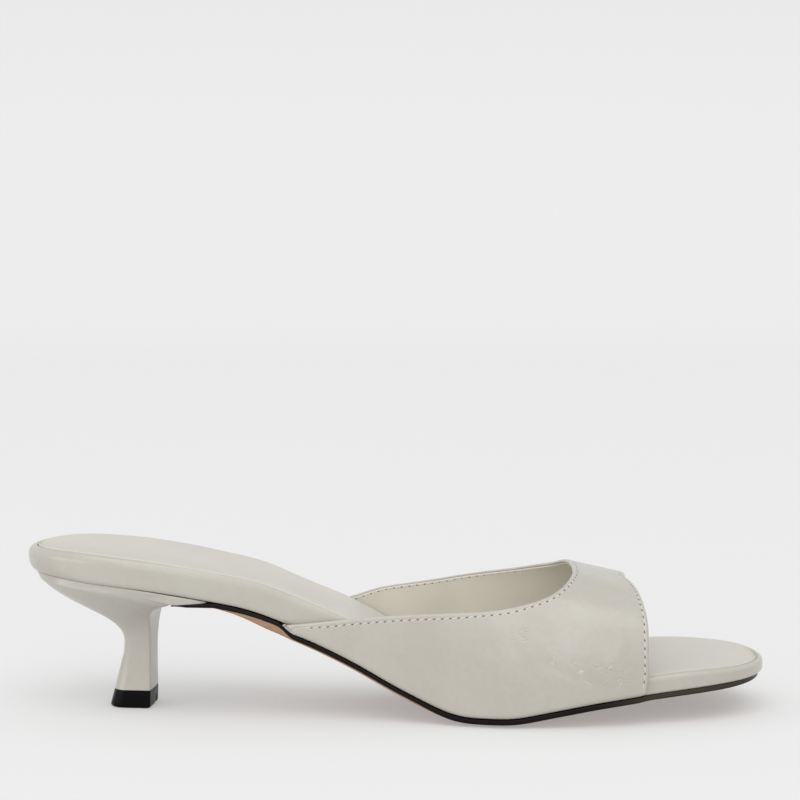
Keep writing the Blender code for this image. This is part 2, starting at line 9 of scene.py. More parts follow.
import bmesh
import bpy
import numpy as np
from bpy.props import FloatProperty, FloatVectorProperty, PointerProperty
from bpy.types import Operator, Panel, PropertyGroup
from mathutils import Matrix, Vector


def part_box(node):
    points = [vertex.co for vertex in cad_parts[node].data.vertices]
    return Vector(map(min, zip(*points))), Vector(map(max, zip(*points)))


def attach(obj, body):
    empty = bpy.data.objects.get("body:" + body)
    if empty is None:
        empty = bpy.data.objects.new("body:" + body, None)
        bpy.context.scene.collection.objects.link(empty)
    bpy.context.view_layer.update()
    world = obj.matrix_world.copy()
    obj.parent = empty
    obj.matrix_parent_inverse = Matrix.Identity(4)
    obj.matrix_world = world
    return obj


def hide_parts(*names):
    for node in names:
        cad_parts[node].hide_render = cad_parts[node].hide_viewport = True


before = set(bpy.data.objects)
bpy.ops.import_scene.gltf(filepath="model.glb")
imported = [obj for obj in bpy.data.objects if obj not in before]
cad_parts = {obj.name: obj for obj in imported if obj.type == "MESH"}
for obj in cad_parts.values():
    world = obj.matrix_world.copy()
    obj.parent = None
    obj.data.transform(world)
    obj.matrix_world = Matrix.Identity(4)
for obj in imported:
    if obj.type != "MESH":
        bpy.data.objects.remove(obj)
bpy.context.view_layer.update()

bl_info = {
    "name": "Kitten-heel mule",
    "version": (1, 0, 0),
    "blender": (4, 5, 0),
    "location": "3D View > Sidebar > Mule",
    "description": "Builds the finished pieces of an open-toed mule around its frame",
    "category": "Add Mesh",
}

MM = 0.001
BODY = "root"
BED_LOW, BED_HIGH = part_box("footbed")

# Places and reaches along the shoe, as shares of its length
TREAD_START = 0.592
TREAD_END = 0.645
SKIVE_REACH = 0.08
WIDEN_START = 0.20
WIDEN_REACH = 0.46
THIN_START = 0.42
THIN_REACH = 0.40
TIP_THIN_START = 0.86
CAMBER_START = 0.36
CAMBER_REACH = 0.12
WAIST_SWELL_START = 0.262       # the sole's underside leaves its edge paint from here
WAIST_SWELL_REACH = 0.0755
MARGIN_START = 0.341            # the sole dips under the upper's back corner
MARGIN_REACH = 0.024
BEND_START = 0.347              # the upper's bend grows from nothing at its back corner
BEND_REACH = 0.030
DROP_START = 0.803              # the footbed comes down in front of the upper's margin
DROP_REACH = 0.018
LEDGE_END = 0.815               # the sole is wider than the footbed up to here
LEDGE_REACH = 0.022
SMOOTHING = 0.030               # the sole's line is averaged over this reach each way
SEAT_ROUND = 0.09               # the wrap rounds up around the back of the heel

# Section through the last and the heel's stem
ARCH_POWER = 3.3
ARCH_POINTS = 400
TOPLINE_POINTS = 300
FLAT_WAY = 0.44
STEM_BACK_SHARE = 0.42
STEM_BACK_POWER = 2.5
STEM_BACK_POINTS = 15
BREAST_WAY = 0.9
TURN_WAY = 0.74

# Distances from a free edge at which the upper's surface is worked out; SEAM is the stitch
# line outside and LINING_SEAM the one on the lining
LIP_STEPS = MM * np.array([0.0, 0.04, 0.1, 0.2, 0.32, 0.46, 0.62, 0.8, 1.02, 1.22, 1.38, 1.52,
                           1.66, 1.82, 2.0, 2.2, 2.5, 2.9, 3.4])
SEAM = 11
LINING_SEAM = 8


class Table:
    """Sections in rows with named columns, read as smooth curves along the first column."""

    def __init__(self, columns, rows, round_ends=False):
        self.columns = columns
        self.values = np.array(rows, dtype=float)
        self.round_ends = round_ends

    def read(self, name, place):
        """Monotone cubic curve through one column: each cell is a cubic whose end slopes are
        the harmonic mean of the neighbours' slopes. With round ends it runs on the angle whose
        cosine gives the place, so that an outline closes as a rounded end."""
        knots = self.values[:, 0]
        heights = self.values[:, self.columns.index(name)]
        place = np.clip(np.asarray(place, dtype=float), knots[0], knots[-1])
        if self.round_ends:
            knots = np.arccos(1.0 - 2.0 * knots)
            place = np.arccos(1.0 - 2.0 * place)
        widths = np.diff(knots)
        slopes = np.diff(heights) / widths
        same = slopes[:-1] * slopes[1:] > 0.0
        total = np.where(same, slopes[:-1] + slopes[1:], 1.0)
        middle = np.where(same, 2.0 * slopes[:-1] * slopes[1:] / total, 0.0)
        tangents = np.concatenate(([slopes[0]], middle, [slopes[-1]]))
        cell = np.clip(np.searchsorted(knots, place) - 1, 0, len(widths) - 1)
        t = (place - knots[cell]) / widths[cell]
        rise = heights[cell + 1] - heights[cell]
        start = tangents[cell] * widths[cell]
        end = tangents[cell + 1] * widths[cell]
        return (heights[cell] + start * t + (3.0 * rise - 2.0 * start - end) * t ** 2
                + (start + end - 2.0 * rise) * t ** 3)


# Half widths of the footbed as shares of its width at that place
OUTLINE = Table(("along", "outer", "inner"), [
    (0.00, 0.000, 0.000),
    (0.02, 0.262, 0.262),
    (0.05, 0.383, 0.387),
    (0.10, 0.467, 0.477),
    (0.15, 0.495, 0.505),
    (0.20, 0.492, 0.492),
    (0.30, 0.452, 0.385),
    (0.40, 0.407, 0.270),
    (0.50, 0.421, 0.280),
    (0.60, 0.474, 0.367),
    (0.66, 0.500, 0.438),
    (0.72, 0.499, 0.484),
    (0.78, 0.480, 0.493),
    (0.84, 0.441, 0.474),
    (0.90, 0.385, 0.437),
    (0.95, 0.308, 0.370),
    (0.98, 0.215, 0.270),
    (1.00, 0.000, 0.000),
], round_ends=True)

# Underside of the footbed: heel as a share of the seat lift, toe of the toe spring
BED_LINE = Table(("along", "heel", "toe"), [
    (0.00, 0.960, 0.000),
    (0.05, 0.968, 0.000),
    (0.10, 0.948, 0.000),
    (0.15, 0.916, 0.000),
    (0.20, 0.872, 0.000),
    (0.25, 0.819, 0.000),
    (0.30, 0.760, 0.000),
    (0.35, 0.653, 0.000),
    (0.40, 0.526, 0.000),
    (0.45, 0.376, 0.000),
    (0.50, 0.214, 0.000),
    (0.55, 0.078, 0.000),
    (0.57, 0.030, 0.000),
    (TREAD_START, 0.000, 0.000),
    (TREAD_END, 0.000, 0.000),
    (0.70, 0.000, 0.218),
    (0.75, 0.000, 0.437),
    (0.80, 0.000, 0.605),
    (0.85, 0.000, 0.744),
    (0.90, 0.000, 0.838),
    (0.95, 0.000, 0.922),
    (1.00, 0.000, 1.000),
])

# Crest of the last under the upper, as shares of the instep height
CREST = Table(("along", "height"), [
    (0.34, 1.849),
    (0.45, 1.571),
    (0.55, 1.352),
    (0.62, 1.198),
    (0.68, 1.086),
    (0.72, 1.022),
    (0.74, 1.000),
    (0.78, 0.952),
    (0.80, 0.928),
    (0.82, 0.901),
    (0.85, 0.847),
])

# Top edge of the upper: way from its back corner to the throat, shares of topline height
TOPLINE = Table(("way", "outer", "inner"), [
    (0.000, 0.847, 0.842),
    (0.070, 0.859, 0.853),
    (0.190, 0.896, 0.878),
    (0.350, 0.944, 0.988),
    (0.540, 0.984, 1.048),
    (0.680, 1.011, 1.092),
    (0.800, 1.061, 1.123),
    (0.890, 1.123, 1.162),
    (0.945, 1.188, 1.192),
    (0.985, 1.250, 1.250),
    (1.000, 1.268, 1.268),
])

# Front edge of the upper: way up the wall to the crest, set forward as shares of length
FRONT_EDGE = Table(("up", "outer", "inner"), [
    (0.00, 0.0022, 0.0012),
    (0.12, 0.0052, 0.0020),
    (0.40, 0.0052, 0.0012),
    (0.62, 0.0004, -0.0062),
    (0.80, -0.0042, -0.0130),
    (0.92, -0.0078, -0.0140),
    (1.00, -0.0115, -0.0115),
])

# Rim of the wrap beside the sock, in millimetres
RIM = Table(("along", "width"), [
    (0.00, 3.0),
    (0.08, 2.4),
    (0.16, 1.9),
    (0.24, 1.1),
    (0.40, 0.9),
    (0.70, 1.0),
    (0.84, 1.7),
    (1.00, 1.9),
])

# Heel from the top piece up. Heights are shares of the seat's height at the back,
# reaches are shares of the way to the breast, half widths are shares of the seat width,
# seat is how far the section has taken the seat's outline
HEEL_SECTIONS = Table(("back_height", "back", "front_height", "front", "half", "seat"), [
    (0.137, 0.576, 0.137, 0.839, 0.138, 0.00),
    (0.229, 0.597, 0.229, 0.839, 0.131, 0.00),
    (0.333, 0.621, 0.333, 0.839, 0.127, 0.00),
    (0.422, 0.641, 0.422, 0.840, 0.127, 0.00),
    (0.496, 0.645, 0.502, 0.841, 0.133, 0.02),
    (0.556, 0.633, 0.567, 0.844, 0.144, 0.05),
    (0.618, 0.593, 0.622, 0.847, 0.172, 0.10),
    (0.678, 0.522, 0.671, 0.852, 0.215, 0.20),
    (0.751, 0.403, 0.720, 0.861, 0.277, 0.36),
    (0.842, 0.248, 0.769, 0.881, 0.359, 0.60),
    (0.918, 0.139, 0.804, 0.925, 0.426, 0.82),
    (0.962, 0.093, 0.828, 0.980, 0.464, 0.94),
    (0.978, 0.075, 0.846, 1.012, 0.473, 0.98),
])

# Soft folds of the vamp, as seen from the side, in millimetres and degrees
FOLDS = Table(("x", "z", "length", "turn", "depth", "width", "outer"), [
    (40.0, 24.0, 16.0, -62.0, 0.16, 3.2, 1),
    (47.0, 27.0, 13.0, -50.0, -0.10, 2.6, 1),
    (55.0, 18.0, 17.0, -28.0, 0.14, 2.8, 1),
    (64.0, 15.0, 13.0, -35.0, 0.12, 2.2, 1),
    (30.0, 17.0, 18.0, -40.0, 0.08, 4.5, 1),
    (71.0, 24.0, 12.0, 60.0, -0.08, 3.5, 1),
    (46.0, 22.0, 15.0, -55.0, 0.14, 3.0, -1),
    (60.0, 17.0, 16.0, -30.0, 0.12, 2.6, -1),
    (34.0, 20.0, 14.0, -45.0, 0.08, 4.0, -1),
])


def size(label, millimetres, description):
    """A length that a user may change, given in millimetres."""
    return FloatProperty(name=label, description=description, default=millimetres * MM, min=0.0,
                         unit="LENGTH", subtype="DISTANCE", precision=5)


def colour(label, value, description):
    """A linear colour that a user may change."""
    return FloatVectorProperty(name=label, description=description, default=value, size=3,
                               min=0.0, max=1.0, subtype="COLOR")


class MuleSizes(PropertyGroup):
    """Sizes of the last, the sole and the heel."""

    length: size("Length", (BED_HIGH.x - BED_LOW.x) / MM, "Back of the footbed to the toe")
    seat_width: size("Seat width", 53.5, "Footbed across the heel")
    ball_width: size("Ball width", 76.0, "Footbed across the ball of the foot")
    seat_lift: size("Seat lift", 43.0, "Rise of the footbed's underside to the heel")
    toe_spring: size("Toe spring", 10.3, "Rise of the tread from the ball to the toe")
    camber: size("Camber", 0.9, "Rise of the forefoot sole's sides over its middle")
    bed_back: size("Footbed at the heel", 9.4, "Thickness of the wrapped footbed")
    bed_front: size("Footbed at the toes", 5.6, "Thickness of the wrapped footbed")
    bed_tip: size("Footbed at the tip", 4.0, "Thickness of the footbed's edge at the tip")
    outsole: size("Outsole", 1.8, "Thickness of the outsole")
    outsole_skived: size("Outsole at the breast", 0.7, "Outsole where it is pared thin")
    edge_paint: size("Edge paint", 1.5, "Painted band of the sole's edge at the waist")
    upper_wall: size("Upper", 1.6, "Outer leather and lining together")
    lining: size("Lining", 0.5, "Thickness of the lining")
    sock: size("Sock", 1.2, "Thickness of the sock leather with its foam")
    recess: size("Recess", 1.2, "Depth of the footbed's recess")
    dish: size("Dish", 1.0, "Hollow across the middle of the footbed")
    instep_height: size("Instep", 47.2, "Top of the upper at the throat")
    topline_height: size("Topline", 37.3, "Top edge of the upper beside the ball")
    upper_back: size("Upper's back corner", 85.0, "From the back of the footbed")
    upper_throat: size("Throat", 182.0, "Middle of the throat from the back of the footbed")
    upper_front: size("Upper's front edge", 203.6, "From the back of the footbed")
    margin: size("Lasting margin", 6.0, "Upper turned in under the footbed")
    feather: size("Feather", 1.6, "Bend between the upper's wall and its margin")
    margin_back: size("Margin cut back", 6.0, "Margin's back end behind the upper's corner")
    margin_front: size("Margin cut at the front", 8.0, "Margin's front end behind the edge")
    breast: size("Heel breast", 49.6, "Top of the heel's front face from the back")
    wing: size("Heel wing", 60.4, "Front of the heel's cover from the back")
    wing_depth: size("Wing depth", 3.3, "Drop of the outsole at the heel breast")
    seat_rise: size("Seat rise", 1.3, "Rise of the footbed's underside at the back")
    tip_length: size("Tip length", 14.4, "Top piece at the floor, front to back")
    tip_width: size("Tip width", 15.0, "Top piece at the floor, side to side")
    tip_chamfer: size("Tip chamfer", 0.8, "Chamfer of the top piece at the floor")
    stitch: size("Stitch", 2.7, "Length of one stitch with its hole")
    thread: size("Thread", 0.50, "Thickness of the sewing thread")
    gap: size("Gap", 0.3, "Clearance between pieces that lie on each other")
    side_gap: size("Side gap", 0.5, "Between the upper's wall and the footbed")


class MuleColours(PropertyGroup):
    """Colours of the leathers, the thread, the sole and the stage."""

    leather: colour("Leather", (0.420, 0.402, 0.355), "Outer leather of vamp, wrap and heel")
    leather_shade: colour("Leather shade", (0.388, 0.368, 0.318), "Its slightly darker clouds")
    lining: colour("Lining", (0.620, 0.592, 0.505), "Lining of the vamp")
    sock: colour("Sock", (0.535, 0.520, 0.465), "Sock leather")
    thread: colour("Thread", (0.560, 0.535, 0.470), "Sewing thread")
    hole_shade: colour("Stitch hole", (0.110, 0.095, 0.076), "Shaded needle holes")
    edge: colour("Edge paint", (0.0045, 0.0034, 0.0027), "Painted edge of the sole")
    underside: colour("Underside", (0.350, 0.215, 0.140), "Unpainted sole leather")
    rubber: colour("Rubber", (0.0020, 0.0020, 0.0022), "Top piece of the heel")
    floor: colour("Floor", (0.462, 0.462, 0.462), "Floor")
    backdrop: colour("Backdrop", (0.455, 0.455, 0.455), "Upright part of the backdrop")


def ease(value):
    """Smooth step from 0 to 1: three squares less two cubes."""
    value = np.clip(value, 0.0, 1.0)
    return value * value * (3.0 - 2.0 * value)


def unit(vectors):
    """Vectors at length 1."""
    return vectors / np.maximum(np.linalg.norm(vectors, axis=-1, keepdims=True), 1e-12)


class Last:
    """The shoe's form: its heights and widths at each place x along it, as the CAD has them."""

    def __init__(self, sizes):
        self.size = sizes

    def share(self, x):
        return np.clip(x / self.size.length + 0.5, 0.0, 1.0)

    def x_of(self, share):
        return (share - 0.5) * self.size.length

    def from_back(self, length):
        """Place of a length that is measured from the back of the footbed."""
        return length - self.size.length / 2.0

    def sole_line(self, x):
        """Underside of the footbed over the margin: sole stack, seat lift and toe spring,
        averaged over a short reach with weights that fall evenly to both ends."""
        s, share = self.size, self.share(x)
        spread = np.linspace(-1.0, 1.0, 9)
        weights = 1.1 - np.abs(spread)
        total = s.outsole + s.upper_wall + 2.0 * s.gap
        for offset, weight in zip(SMOOTHING * spread, weights / weights.sum()):
            total = total + weight * (s.seat_lift * BED_LINE.read("heel", share + offset)
                                      + s.toe_spring * BED_LINE.read("toe", share + offset))
        return total

    def slant(self, x):
        """Length of the sloping sole for each unit of floor."""
        step = 0.5 * MM
        rise = (self.sole_line(x + step) - self.sole_line(x - step)) / (2.0 * step)
        return np.sqrt(1.0 + rise ** 2)

    def camber(self, x, way):
        """Rise of the forefoot's sides over its flat middle."""
        along = ease((self.share(x) - CAMBER_START) / CAMBER_REACH)
        return self.size.camber * along * ease((np.abs(way) - FLAT_WAY) / (1.0 - FLAT_WAY))

    def margin_drop(self, x):
        """How far the sole lies lower, to leave room for the upper's margin."""
        s = self.size
        return (s.upper_wall + s.gap) * ease((self.share(x) - MARGIN_START) / MARGIN_REACH)

    def seat_round(self, x):
        """1 at the back of the heel, falling to 0 over a short way."""
        return 1.0 - ease(self.share(x) / SEAT_ROUND)

    def bed_underside(self, x, way=1.0):
        s = self.size
        drop = (s.upper_wall + 1.8 * s.gap) * ease((self.share(x) - DROP_START) / DROP_REACH)
        return (self.sole_line(x) - drop * self.slant(x) + self.camber(x, way)
                + s.seat_rise * self.seat_round(x))

    def bed_top(self, x):
        """Height of the footbed's rim, thinner towards the forefoot and the tip."""
        s, share = self.size, self.share(x)
        front = s.bed_front - s.upper_wall - s.gap
        over = s.bed_back + (front - s.bed_back) * ease((share - THIN_START) / THIN_REACH)
        tip = ease((share - TIP_THIN_START) / (1.0 - TIP_THIN_START))
        over = over + (s.bed_tip - s.bed_front) * tip
        return self.sole_line(x) + over * self.slant(x) + self.camber(x, 1.0)

    def seat_height(self):
        """Height of the heel's seat at the back, before it rounds up."""
        return float(self.sole_line(self.from_back(0.0))) - self.size.gap

    def outsole_top(self, x, way=1.0):
        s = self.size
        meet = s.wing + 3.0 * MM
        to_wing = (meet - self.share(x) * s.length) / (meet - s.breast)
        below = s.gap + self.margin_drop(x)
        return (self.sole_line(x) - below * self.slant(x) + self.camber(x, way)
                - s.wing_depth * np.clip(to_wing, 0.0, 1.0))

    def tread(self, x, way=1.0):
        """Underside of the outsole. It swells smoothly before the step of its top side."""
        s, share = self.size, self.share(x)
        full = ease((share - s.breast / s.length) / SKIVE_REACH)
        thickness = s.outsole_skived + (s.outsole - s.outsole_skived) * full
        thickness = thickness * np.clip((share * s.length - s.breast) / (5.0 * MM), 0.03, 1.0)
        swell = (s.upper_wall + s.gap) * ease((share - WAIST_SWELL_START) / WAIST_SWELL_REACH)
        thickness = thickness + np.maximum(swell - self.margin_drop(x), 0.0)
        return self.outsole_top(x, way) - thickness * self.slant(x)

    def bed_side(self, x, side):
        """Half width of the footbed on one side."""
        s, share = self.size, self.share(x)
        widen = ease((share - WIDEN_START) / WIDEN_REACH)
        width = s.seat_width + (s.ball_width - s.seat_width) * widen
        return width * OUTLINE.read(side, share)

    def outline(self, angles, side, inset):
        """Footbed's outline moved inwards along its own normal. The place along the shoe is
        half of one less the cosine of the angle."""
        step = 0.002
        low = np.clip(angles - step, 0.0, math.pi)
        high = np.clip(angles + step, 0.0, math.pi)

        def place(angle):
            x = self.x_of((1.0 - np.cos(angle)) / 2.0)
            return np.stack([x, self.bed_side(x, side)], axis=-1)

        run = place(high) - place(low)
        run[angles <= 0.0] = (0.0, 1.0)
        run[angles >= math.pi] = (0.0, -1.0)
        run = unit(run)
        inward = np.stack([run[:, 1], -run[:, 0]], axis=-1)
        points = place(angles) + inward * np.reshape(inset, (-1, 1))
        points[:, 1] = np.maximum(points[:, 1], 0.0)
        return points

    def upper_foot(self, x, way=1.0):
        """Height of the upper's underside, where its margin lies on the outsole."""
        return self.sole_line(x) - self.margin_drop(x) * self.slant(x) + self.camber(x, way)

    def bend(self, x):
        """Radius of the upper's bend into its margin, which dies out at the back corner."""
        return self.size.feather * (0.03 + 0.97 * ease((self.share(x) - BEND_START) / BEND_REACH))

    def crest(self, x):
        return self.size.instep_height * CREST.read("height", self.share(x))


def mirror_y(side):
    return -1.0 if side == "outer" else 1.0


def stations(last, count, first=0.0):
    """Angles of the cross sections, even from a place along the shoe to the toe."""
    return np.linspace(math.acos(1.0 - 2.0 * first), math.pi, count + 1)


def column(last, angles, side, inset, height):
    """A line along the shoe at an inset from the footbed's outline: x, y and height(x)."""
    plan = last.outline(angles, side, inset)
    return np.column_stack([plan[:, 0], mirror_y(side) * plan[:, 1], height(plan[:, 0])])


def across(outer, inner, height, count, end_span=12.0 * MM):
    """Grid between two lines along the shoe. The way across runs from -1 to 1, and height
    gives z for x and that way; where the lines close to a point the section flattens."""
    way = np.linspace(-1.0, 1.0, count + 1)
    blend = ((way + 1.0) / 2.0)[None, :, None]
    flat = outer[:, None, :2] * (1.0 - blend) + inner[:, None, :2] * blend
    span = np.linalg.norm(inner[:, :2] - outer[:, :2], axis=-1)
    open_share = np.minimum(span / end_span, 1.0)
    height_way = 1.0 - (1.0 - np.abs(way[None, :])) * open_share[:, None]
    z = height(flat[..., 0], height_way)
    return np.concatenate([flat, z[..., None]], axis=-1)


def grid_faces(rows, columns, start):
    """Four-sided faces of a grid of points stored row after row."""
    index = np.arange(rows * columns).reshape(rows, columns) + start
    corners = [index[:-1, :-1], index[1:, :-1], index[1:, 1:], index[:-1, 1:]]
    return np.stack(corners, axis=-1).reshape(-1, 4)


def add_piece(name, grids, material, nodes=(), places=None, sharp=40.0):
    """One piece from grids that share their borders: doubles are merged and faces turned
    outwards. Places give each point two numbers, kept as a map named place."""
    counts = [grid.shape[0] * grid.shape[1] for grid in grids]
    starts = np.cumsum([0] + counts[:-1])
    points = np.concatenate([grid.reshape(-1, 3) for grid in grids])
    faces = np.concatenate([grid_faces(*grid.shape[:2], start)
                            for grid, start in zip(grids, starts)])
    mesh = bpy.data.meshes.new(name)
    mesh.from_pydata(points.tolist(), [], faces.tolist())
    if places is not None:
        flat = np.concatenate([place.reshape(-1, 2) for place in places])
        layer = mesh.uv_layers.new(name="place")
        layer.data.foreach_set("uv", flat[faces.ravel()].ravel())
    shape = bmesh.new()
    shape.from_mesh(mesh)
    bmesh.ops.remove_doubles(shape, verts=shape.verts, dist=0.002 * MM)
    bmesh.ops.dissolve_degenerate(shape, edges=shape.edges, dist=0.001 * MM)
    bmesh.ops.recalc_face_normals(shape, faces=shape.faces)
    shape.to_mesh(mesh)
    shape.free()
    mesh.shade_smooth()
    mesh.set_sharp_from_angle(angle=math.radians(sharp))
    mesh.materials.append(material)
    piece = bpy.data.objects.new(name, mesh)
    bpy.context.scene.collection.objects.link(piece)
    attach(piece, BODY)
    if nodes:
        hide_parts(*nodes)
    return piece


class Value:
    """A number from a node's socket, with operators that add Math nodes."""

    def __init__(self, finish, socket):
        self.finish = finish
        self.socket = socket

    def __add__(self, other):
        return self.finish.math("ADD", self, other)

    __radd__ = __add__

    def __sub__(self, other):
        return self.finish.math("SUBTRACT", self, other)

    def __rsub__(self, other):
        return self.finish.math("SUBTRACT", other, self)

    def __mul__(self, other):
        return self.finish.math("MULTIPLY", self, other)

    __rmul__ = __mul__

    def __pow__(self, other):
        return self.finish.math("POWER", self, other)


class Finish:
    """One material: makes its nodes and sets its shader's sockets."""

    def __init__(self, name, **constants):
        self.material = bpy.data.materials.new(name)
        self.material.use_nodes = True
        self.tree = self.material.node_tree
        self.shader = self.tree.nodes["Principled BSDF"]
        for socket, value in constants.items():
            self.shader.inputs[socket.replace("_", " ")].default_value = value
        self.place = self.node("ShaderNodeTexCoord").outputs["Object"]

    def feed(self, socket, value):
        """Link a socket, or set its number or colour."""
        if isinstance(value, Value):
            value = value.socket
        if isinstance(value, bpy.types.NodeSocket):
            self.tree.links.new(value, socket)
        else:
            socket.default_value = value

    def node(self, kind, settings=None, inputs=None):
        """Any node: its settings are set first, then the values or links of its sockets."""
        made = self.tree.nodes.new(kind)
        for name, value in (settings or {}).items():
            if name == "stops":
                ramp = made.color_ramp.elements
                while len(ramp) < len(value):
                    ramp.new(0.5)
                for element, (position, grey) in zip(ramp, value):
                    element.position = position
                    element.color = (grey, grey, grey, 1.0)
            else:
                setattr(made, name, value)
        for key, value in (inputs or {}).items():
            self.feed(made.inputs[key], value)
        return made

    def math(self, operation, first, second=0.0):
        made = self.node("ShaderNodeMath", {"operation": operation}, {0: first, 1: second})
        return Value(self, made.outputs[0])

    def split(self, vector):
        """The three numbers of a vector."""
        made = self.node("ShaderNodeSeparateXYZ", inputs={0: vector})
        return [Value(self, socket) for socket in made.outputs]

    def moved(self, vector, location=(0, 0, 0), rotation=(0, 0, 0), scale=(1, 1, 1)):
        made = self.node("ShaderNodeMapping", {"vector_type": "TEXTURE"},
                         {"Vector": vector, "Location": location, "Rotation": rotation,
                          "Scale": scale})
        return made.outputs[0]

    def noise(self, millimetres, detail=3.0, roughness=0.5, vector=None, distortion=0.0):
        """Soft noise from 0 to 1 with features of about the given size."""
        made = self.node("ShaderNodeTexNoise", inputs={
            "Vector": vector or self.place, "Scale": 1.0 / (millimetres * MM),
            "Detail": detail, "Roughness": roughness, "Distortion": distortion})
        return Value(self, made.outputs[0])

    def cells(self, millimetres, feature="F1", vector=None, randomness=1.0):
        """Distance in a pattern of cells of about the given size."""
        made = self.node("ShaderNodeTexVoronoi", {"feature": feature}, {
            "Vector": vector or self.place, "Scale": 1.0 / (millimetres * MM),
            "Randomness": randomness})
        return Value(self, made.outputs["Distance"])

    def between(self, value, low, high):
        """Smooth step of a value between two limits."""
        made = self.node("ShaderNodeMapRange", {"interpolation_type": "SMOOTHSTEP"},
                         {"Value": value, "From Min": low, "From Max": high})
        return Value(self, made.outputs[0])

    def spot(self, x, z, reach_x, reach_z, turn=0.0):
        """A soft oval on the shoe's side, 1 in its middle: one less the square of the distance
        in reaches, never below 0. Places are in millimetres, seen from the side."""
        local = self.moved(self.place, (x * MM, 0.0, z * MM), (0.0, -math.radians(turn), 0.0),
                           (reach_x * MM, 1.0, reach_z * MM))
        along, _, up = self.split(local)
        return self.math("MAXIMUM", 1.0 - (along * along + up * up), 0.0)

    def mixed(self, factor, first, second):
        made = self.node("ShaderNodeMix", {"data_type": "RGBA"}, {0: factor, 6: first, 7: second})
        return made.outputs[2]

    def bump(self, height, millimetres, strength=1.0, normal=None):
        made = self.node("ShaderNodeBump", inputs={
            "Height": height, "Distance": millimetres * MM, "Strength": strength})
        if normal is not None:
            self.feed(made.inputs["Normal"], normal)
        return made.outputs[0]

    def show(self, **surface):
        """Feed the shader's varying sockets."""
        for socket, value in surface.items():
            self.feed(self.shader.inputs[socket.replace("_", " ")], value)
        return self.material


def rgba(value):
    return (*value, 1.0)


# Fine crinkles on the vamp: middle, reaches and turn as seen from the side, and their grain
# In these spots the crinkle ridges also carry a painted highlight in the base colour
CRINKLE_SHEEN_SPOTS = [
    (41.5, 30.5, 4.5, 6.0, -30.0),
    (59.0, 20.5, 14.0, 6.0, -20.0),
    (70.0, 17.0, 8.0, 5.0, -30.0),
]


def leather_finish(name, tone, shade, gloss, crinkle_sheen_spots=(), grain=1.0, wear=None):
    """Smooth leather: faint clouds of colour, shallow pores, and fine crinkles in spots whose ridges
    carry a painted highlight.
    """
    finish = Finish(name, Coat_Weight=0.45, Coat_Roughness=0.22, IOR=1.46)
    clouds = finish.noise(26.0, 3.0, 0.55)
    mottle = finish.noise(2.2, 4.0, 0.6)
    blend = finish.between(clouds * 0.65 + mottle * 0.35, 0.35, 0.68)
    base = finish.mixed(blend, rgba(tone), rgba(shade))
    pores = finish.cells(0.55) * 0.6 + finish.noise(0.30, 2.0, 0.6) * 0.5
    normal = finish.bump(pores, 0.016 * grain)
    soft = finish.noise(7.0, 2.0, 0.5)
    normal = finish.bump(soft, 0.10 * grain, normal=normal)
    rough = gloss + (mottle - 0.5) * 0.10 + (clouds - 0.5) * 0.08
    if crinkle_sheen_spots:
        mask = sum((finish.spot(*spot) for spot in crinkle_sheen_spots[1:]), finish.spot(*crinkle_sheen_spots[0]))
        mask = finish.math("MINIMUM", mask, 1.0)
        bent = finish.moved(finish.place, rotation=(0.0, math.radians(28.0), 0.0),
                            scale=(1.0, 1.0, 0.42))
        lines = finish.between(finish.cells(4.4, "DISTANCE_TO_EDGE", bent), 0.0, 0.06)
        finer = finish.between(finish.cells(2.0, "DISTANCE_TO_EDGE", bent), 0.0, 0.10)
        chance = finish.between(finish.noise(4.0, 2.0), 0.42, 0.62)
        height = (1.0 - (1.0 - lines) * mask * chance) + finer * mask * 0.2
        normal = finish.bump(height, 0.12, normal=normal)
        # Painted highlight: the base colour is lightened along the crinkle ridges inside the spots
        base = finish.mixed((1.0 - lines) * mask * chance * 0.5, base,
                            rgba([min(channel * 1.45, 0.9) for channel in tone]))
    return finish.show(Base_Color=base, Roughness=rough, Normal=normal)


def lining_finish(tone):
    """Matt lining leather with a fine even grain."""
    finish = Finish("lining", IOR=1.45, Coat_Weight=0.0)
    clouds = finish.noise(18.0, 3.0)
    base = finish.mixed(finish.between(clouds, 0.35, 0.7), rgba(tone),
                        rgba([channel * 0.93 for channel in tone]))
    grain = finish.cells(0.7) * 0.7 + finish.noise(0.35, 2.0) * 0.4
    return finish.show(Base_Color=base, Roughness=0.62 + (clouds - 0.5) * 0.1,
                       Normal=finish.bump(grain, 0.03))


def sock_finish(tone):
    """Nearly matt sock leather: fine grain, soft bumps and faint clouds of colour and roughness."""
    finish = Finish("sock", IOR=1.45, Coat_Weight=0.08, Coat_Roughness=0.35)
    clouds = finish.noise(30.0, 3.0)
    base = finish.mixed(finish.between(clouds, 0.3, 0.7), rgba(tone),
                        rgba([channel * 0.95 for channel in tone]))
    grain = finish.cells(0.6) * 0.6 + finish.noise(0.32, 3.0) * 0.5
    normal = finish.bump(grain, 0.02)
    normal = finish.bump(finish.noise(9.0, 2.0), 0.10, normal=normal)
    return finish.show(Base_Color=base, Roughness=0.48 + (clouds - 0.5) * 0.12, Normal=normal)


